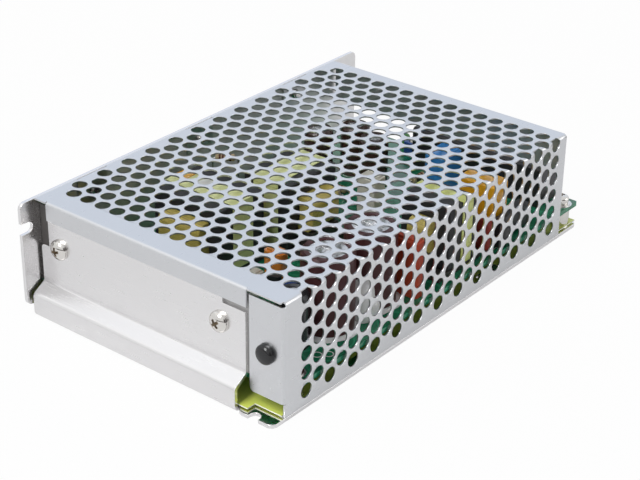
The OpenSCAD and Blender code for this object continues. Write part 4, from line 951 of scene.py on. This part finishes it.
# the step from a part's middle to one of its leads
def leadStep(turn, span):
    return Vector((math.cos(math.radians(turn)), math.sin(math.radians(turn)), 0)) * span / 2


def addLeads(leads, spec, x, y, turn, span, height):
    way = leadStep(turn, span)
    inside = (spec["long"] / 2 - axialFit["inside"]) / (span / 2)
    for s in ends:
        foot = Vector((x, y, 0)) + way * s
        inner = Vector((x, y, height)) + way * s * inside
        bend = foot - way.normalized() * s * axialFit["bend"] + Vector((0, 0, height))
        knee = foot + Vector((0, 0, height - axialFit["bend"]))
        join(leads, wire([inner, bend, knee, foot + Vector((0, 0, leadEnd))], spec["wire"]))


def addJumper(leads, spec, x, y, turn, span):
    way = leadStep(turn, span)
    first, last = [Vector((x, y, boardTop)) + way * s for s in ends]
    up, low = Vector((0, 0, spec["rise"])), Vector((0, 0, leadThrough))
    inward = way.normalized() * spec["bend"]
    join(leads, wire([first - low, first + up * spec["knee"], first + up + inward,
                      last + up - inward, last + up * spec["knee"], last - low], spec["wire"]))


def makeAxials(kinds, links, fit):
    leads = bmesh.new()
    for kind, spec in kinds.items():
        bodies, rings = bmesh.new(), bmesh.new()
        half, r = spec["long"] / 2, spec["thick"] / 2
        belly = [(out, far - half) for out, far in spec["end"]]
        belly += [(out, half - far) for out, far in reversed(spec["end"])]
        waist, waistFrom = spec["waist"]
        for x, y, turn, span, *raised in spec["at"]:
            height = boardTop + r + fit["clear"] + sum(raised)
            lay = moved(x, y, height) @ turned(turn, "Z") @ turned(90, "Y")
            join(bodies, lathe(belly, steps=18), lay)
            for share in spec["bands"]:
                middle = share * spec["long"]
                outer = r * (waist if abs(middle) < half - waistFrom else 1) + fit["bandProud"]
                inner, low, high = outer - fit["bandDeep"], middle - fit["bandHalf"], middle + fit["bandHalf"]
                band = [(outer, low), (outer, high), (inner, high), (inner, low)]
                join(rings, lathe(band, steps=18, ring=True), lay)
            addLeads(leads, spec, x, y, turn, span, height)
        newPiece(kind + "Bodies", bodies, spec["look"], spec["slot"])
        newPiece(kind + "Bands", rings, spec["band"], spec["bandSlot"])
    for place in links["at"]:
        addJumper(leads, links, *place)
    newPiece("axialLeads", leads, "tinnedBrass", "tinned_metal")


makeAxials(axials, jumpers, axialFit)

# upright boxes on two leads: middle, size, rounding, finish, slot, step from the middle to a lead
uprights = {
    "maroonCapacitor": ((41.3, 29.6, 15.4), (8.8, 3.0, 11.2), 1.2, "maroonEpoxy", "red_epoxy", (2.5, 0)),
    "darkCapacitor": ((45.7, 37.0, 15.0), (2.3, 7.6, 10.4), 0.35, "blockPlastic", "black_plastic", (0, 2.5)),
    "filterCapacitor": ((42.2, 49.0, 13.6), (4.4, 10.4, 7.6), 0.35, "blockPlastic", "black_plastic", (0, 2.5)),
}
uprightFit = {"taper": (0.92, 0.96), "inside": 0.6, "wire": 0.3}


def makeUpright(name, middle, size, rounding, look, slot, step):
    bm = block(size, middle, uprightFit["taper"])
    roundEdges(bm, rounding, segments=4)
    newPiece(name, bm, look, slot, angle=60)
    leads = bmesh.new()
    inside = middle[2] - size[2] / 2 + uprightFit["inside"]
    for s in ends:
        x, y = middle[0] + s * step[0], middle[1] + s * step[1]
        join(leads, wire([(x, y, inside), (x, y, leadEnd)], uprightFit["wire"]))
    newPiece(name + "Leads", leads, "tinnedBrass", "tinned_metal")


for name, spec in uprights.items():
    makeUpright(name, *spec)

# small transistors, flat on one side, on three leads: x, y, turn
transistor = {"r": 2.35, "tall": 4.8, "edge": 0.15, "flat": 1.5, "cut": (8, 4, 12), "cutLift": 2, "lift": 5.2,
              "pitch": 1.27, "wire": 0.25, "inside": 0.3, "at": [(13.9, -37.2, 200), (-4, 36.5, 90)]}


def makeTransistors(spec):
    bodies, leads = bmesh.new(), bmesh.new()
    r, edge, foot = spec["r"], spec["edge"], boardTop + spec["lift"]
    top = foot + spec["tall"]
    profile = [(0, foot), (r - edge, foot), (r, foot + edge), (r, top - edge), (r - edge, top), (0, top)]
    cutMiddle = (0, spec["flat"] + spec["cut"][1] / 2, foot + spec["cutLift"])
    for x, y, turn in spec["at"]:
        lay = moved(x, y, 0) @ turned(turn, "Z")
        can = cutAway(lathe(profile, steps=32), [block(spec["cut"], cutMiddle)])
        join(bodies, oneFinish(can), lay)
        for i in (-1, 0, 1):
            side = i * spec["pitch"]
            run = [(side, 0, foot + spec["inside"]), (side, 0, leadEnd)]
            join(leads, wire(run, spec["wire"]), lay)
    newPiece("transistorBodies", bodies, "blackEpoxy", "epoxy_black")
    newPiece("transistorLeads", leads, "tinnedBrass", "tinned_metal")


makeTransistors(transistor)
print("small board parts made")

# solder joints under the board, where they stand under each kind of part, and ring lands round the board screws
joints = {"wide": 1.5, "tall": 1.0, "tip": 0.35, "waist": 0.15, "rim": 0.04,
          "pins": 5, "pinIn": (2.5, 1.5), "boxIn": 2, "canHalf": 2.5, "plateHalf": 2,
          "landBore": 1.7, "land": 3.6, "landThick": 0.03}


def leadFeet(spec):
    feet = []
    for kind in (*axials.values(), jumpers):
        for place in kind["at"]:
            x, y, turn, span = place[:4]
            way = leadStep(turn, span)
            feet += [(x + way.x * s, y + way.y * s) for s in ends]
    endIn, sideIn = spec["pinIn"]
    for wound in woundParts:
        a, b = boxOf(wound + "_bobbin")
        for i in range(spec["pins"]):
            x = a.x + endIn + (b.x - a.x - 2 * endIn) * i / (spec["pins"] - 1)
            feet += [(x, a.y + sideIn), (x, b.y - sideIn)]
    for node in ("blue_capacitor", "amber_capacitor", "red_capacitor"):
        a, b = boxOf(node)
        y = centreOf(a, b).y
        feet += [(a.x + spec["boxIn"], y), (b.x - spec["boxIn"], y)]
    for can in islands("bulk_cans") + islands("small_cans"):
        mid = centreOf(*can)
        feet += [(mid.x + s * spec["canHalf"], mid.y) for s in ends]
    a, b = boxOf("terminal_plates")
    for i in range(clampScrew["count"]):
        x = a.x + (b.x - a.x) * (i + 0.5) / clampScrew["count"]
        feet += [(x + s * spec["plateHalf"], centreOf(a, b).y) for s in ends]
    return sorted(set((round(x, 2), round(y, 2)) for x, y in feet))


def makeJoints(spec):
    under = boxOf("circuit_board")[0].z
    tall, tip, wide = spec["tall"], spec["tip"], spec["wide"] / 2
    cone = [(0, -tall), (tip, -tall), (tip + spec["waist"], -0.5 * tall), (wide, -spec["rim"]), (wide, 0), (0, 0)]
    bm = bmesh.new()
    for x, y in leadFeet(spec):
        join(bm, lathe(cone, steps=10), moved(x, y, under))
    newPiece("solderJoints", bm, "solderTin", "tinned_metal", angle=60)
    lands = bmesh.new()
    for screw in islands("board_screws"):
        mid = centreOf(*screw)
        join(lands, flatRing(spec["landBore"], spec["land"], spec["landThick"]), moved(mid.x, mid.y, boardTop))
    newPiece("screwLands", lands, "solderTin", "tinned_metal")


makeJoints(joints)

# white print on the board, rings and outlines only: x, y, radius, and x, y, width, length
silk = {"thick": 0.02, "line": 0.36,
        "rings": [(41.7, -51.0, 1.35), (44.0, -48.6, 1.35), (45.0, -45.2, 0.9), (37, -55.5, 1.6), (-24, 50, 5.6),
                  (-13, 46, 5.6), (-31.5, 39.5, 5.6), (-40, -50, 1.4), (30, 47, 1.4), (-34, 66, 1.6)],
        "frames": [(-33.5, 2.5, 9.6, 11.6), (21.6, -39.3, 5.2, 10.6), (37, 37, 15.6, 10), (13.7, 48.5, 10.2, 12.6),
                   (10, -31.6, 8.4, 5.8), (-40, 22.5, 7, 22), (25.1, -64.2, 11, 1.6), (-38.3, -64.2, 11, 1.6)]}


def makeSilk(spec):
    thick, line = spec["thick"], spec["line"]
    middle = boardTop + thick / 2
    bm = bmesh.new()
    for x, y, r in spec["rings"]:
        join(bm, flatRing(r - line / 2, r + line / 2, thick, steps=36), moved(x, y, boardTop))
    for x, y, wide, long in spec["frames"]:
        for s in ends:
            join(bm, block((wide, line, thick), (x, y + s * long / 2, middle)))
            join(bm, block((line, long, thick), (x + s * wide / 2, y, middle)))
    newPiece("silkMarks", bm, "silkWhite", "ceramic_white")


makeSilk(silk)
print("joints and board print made")
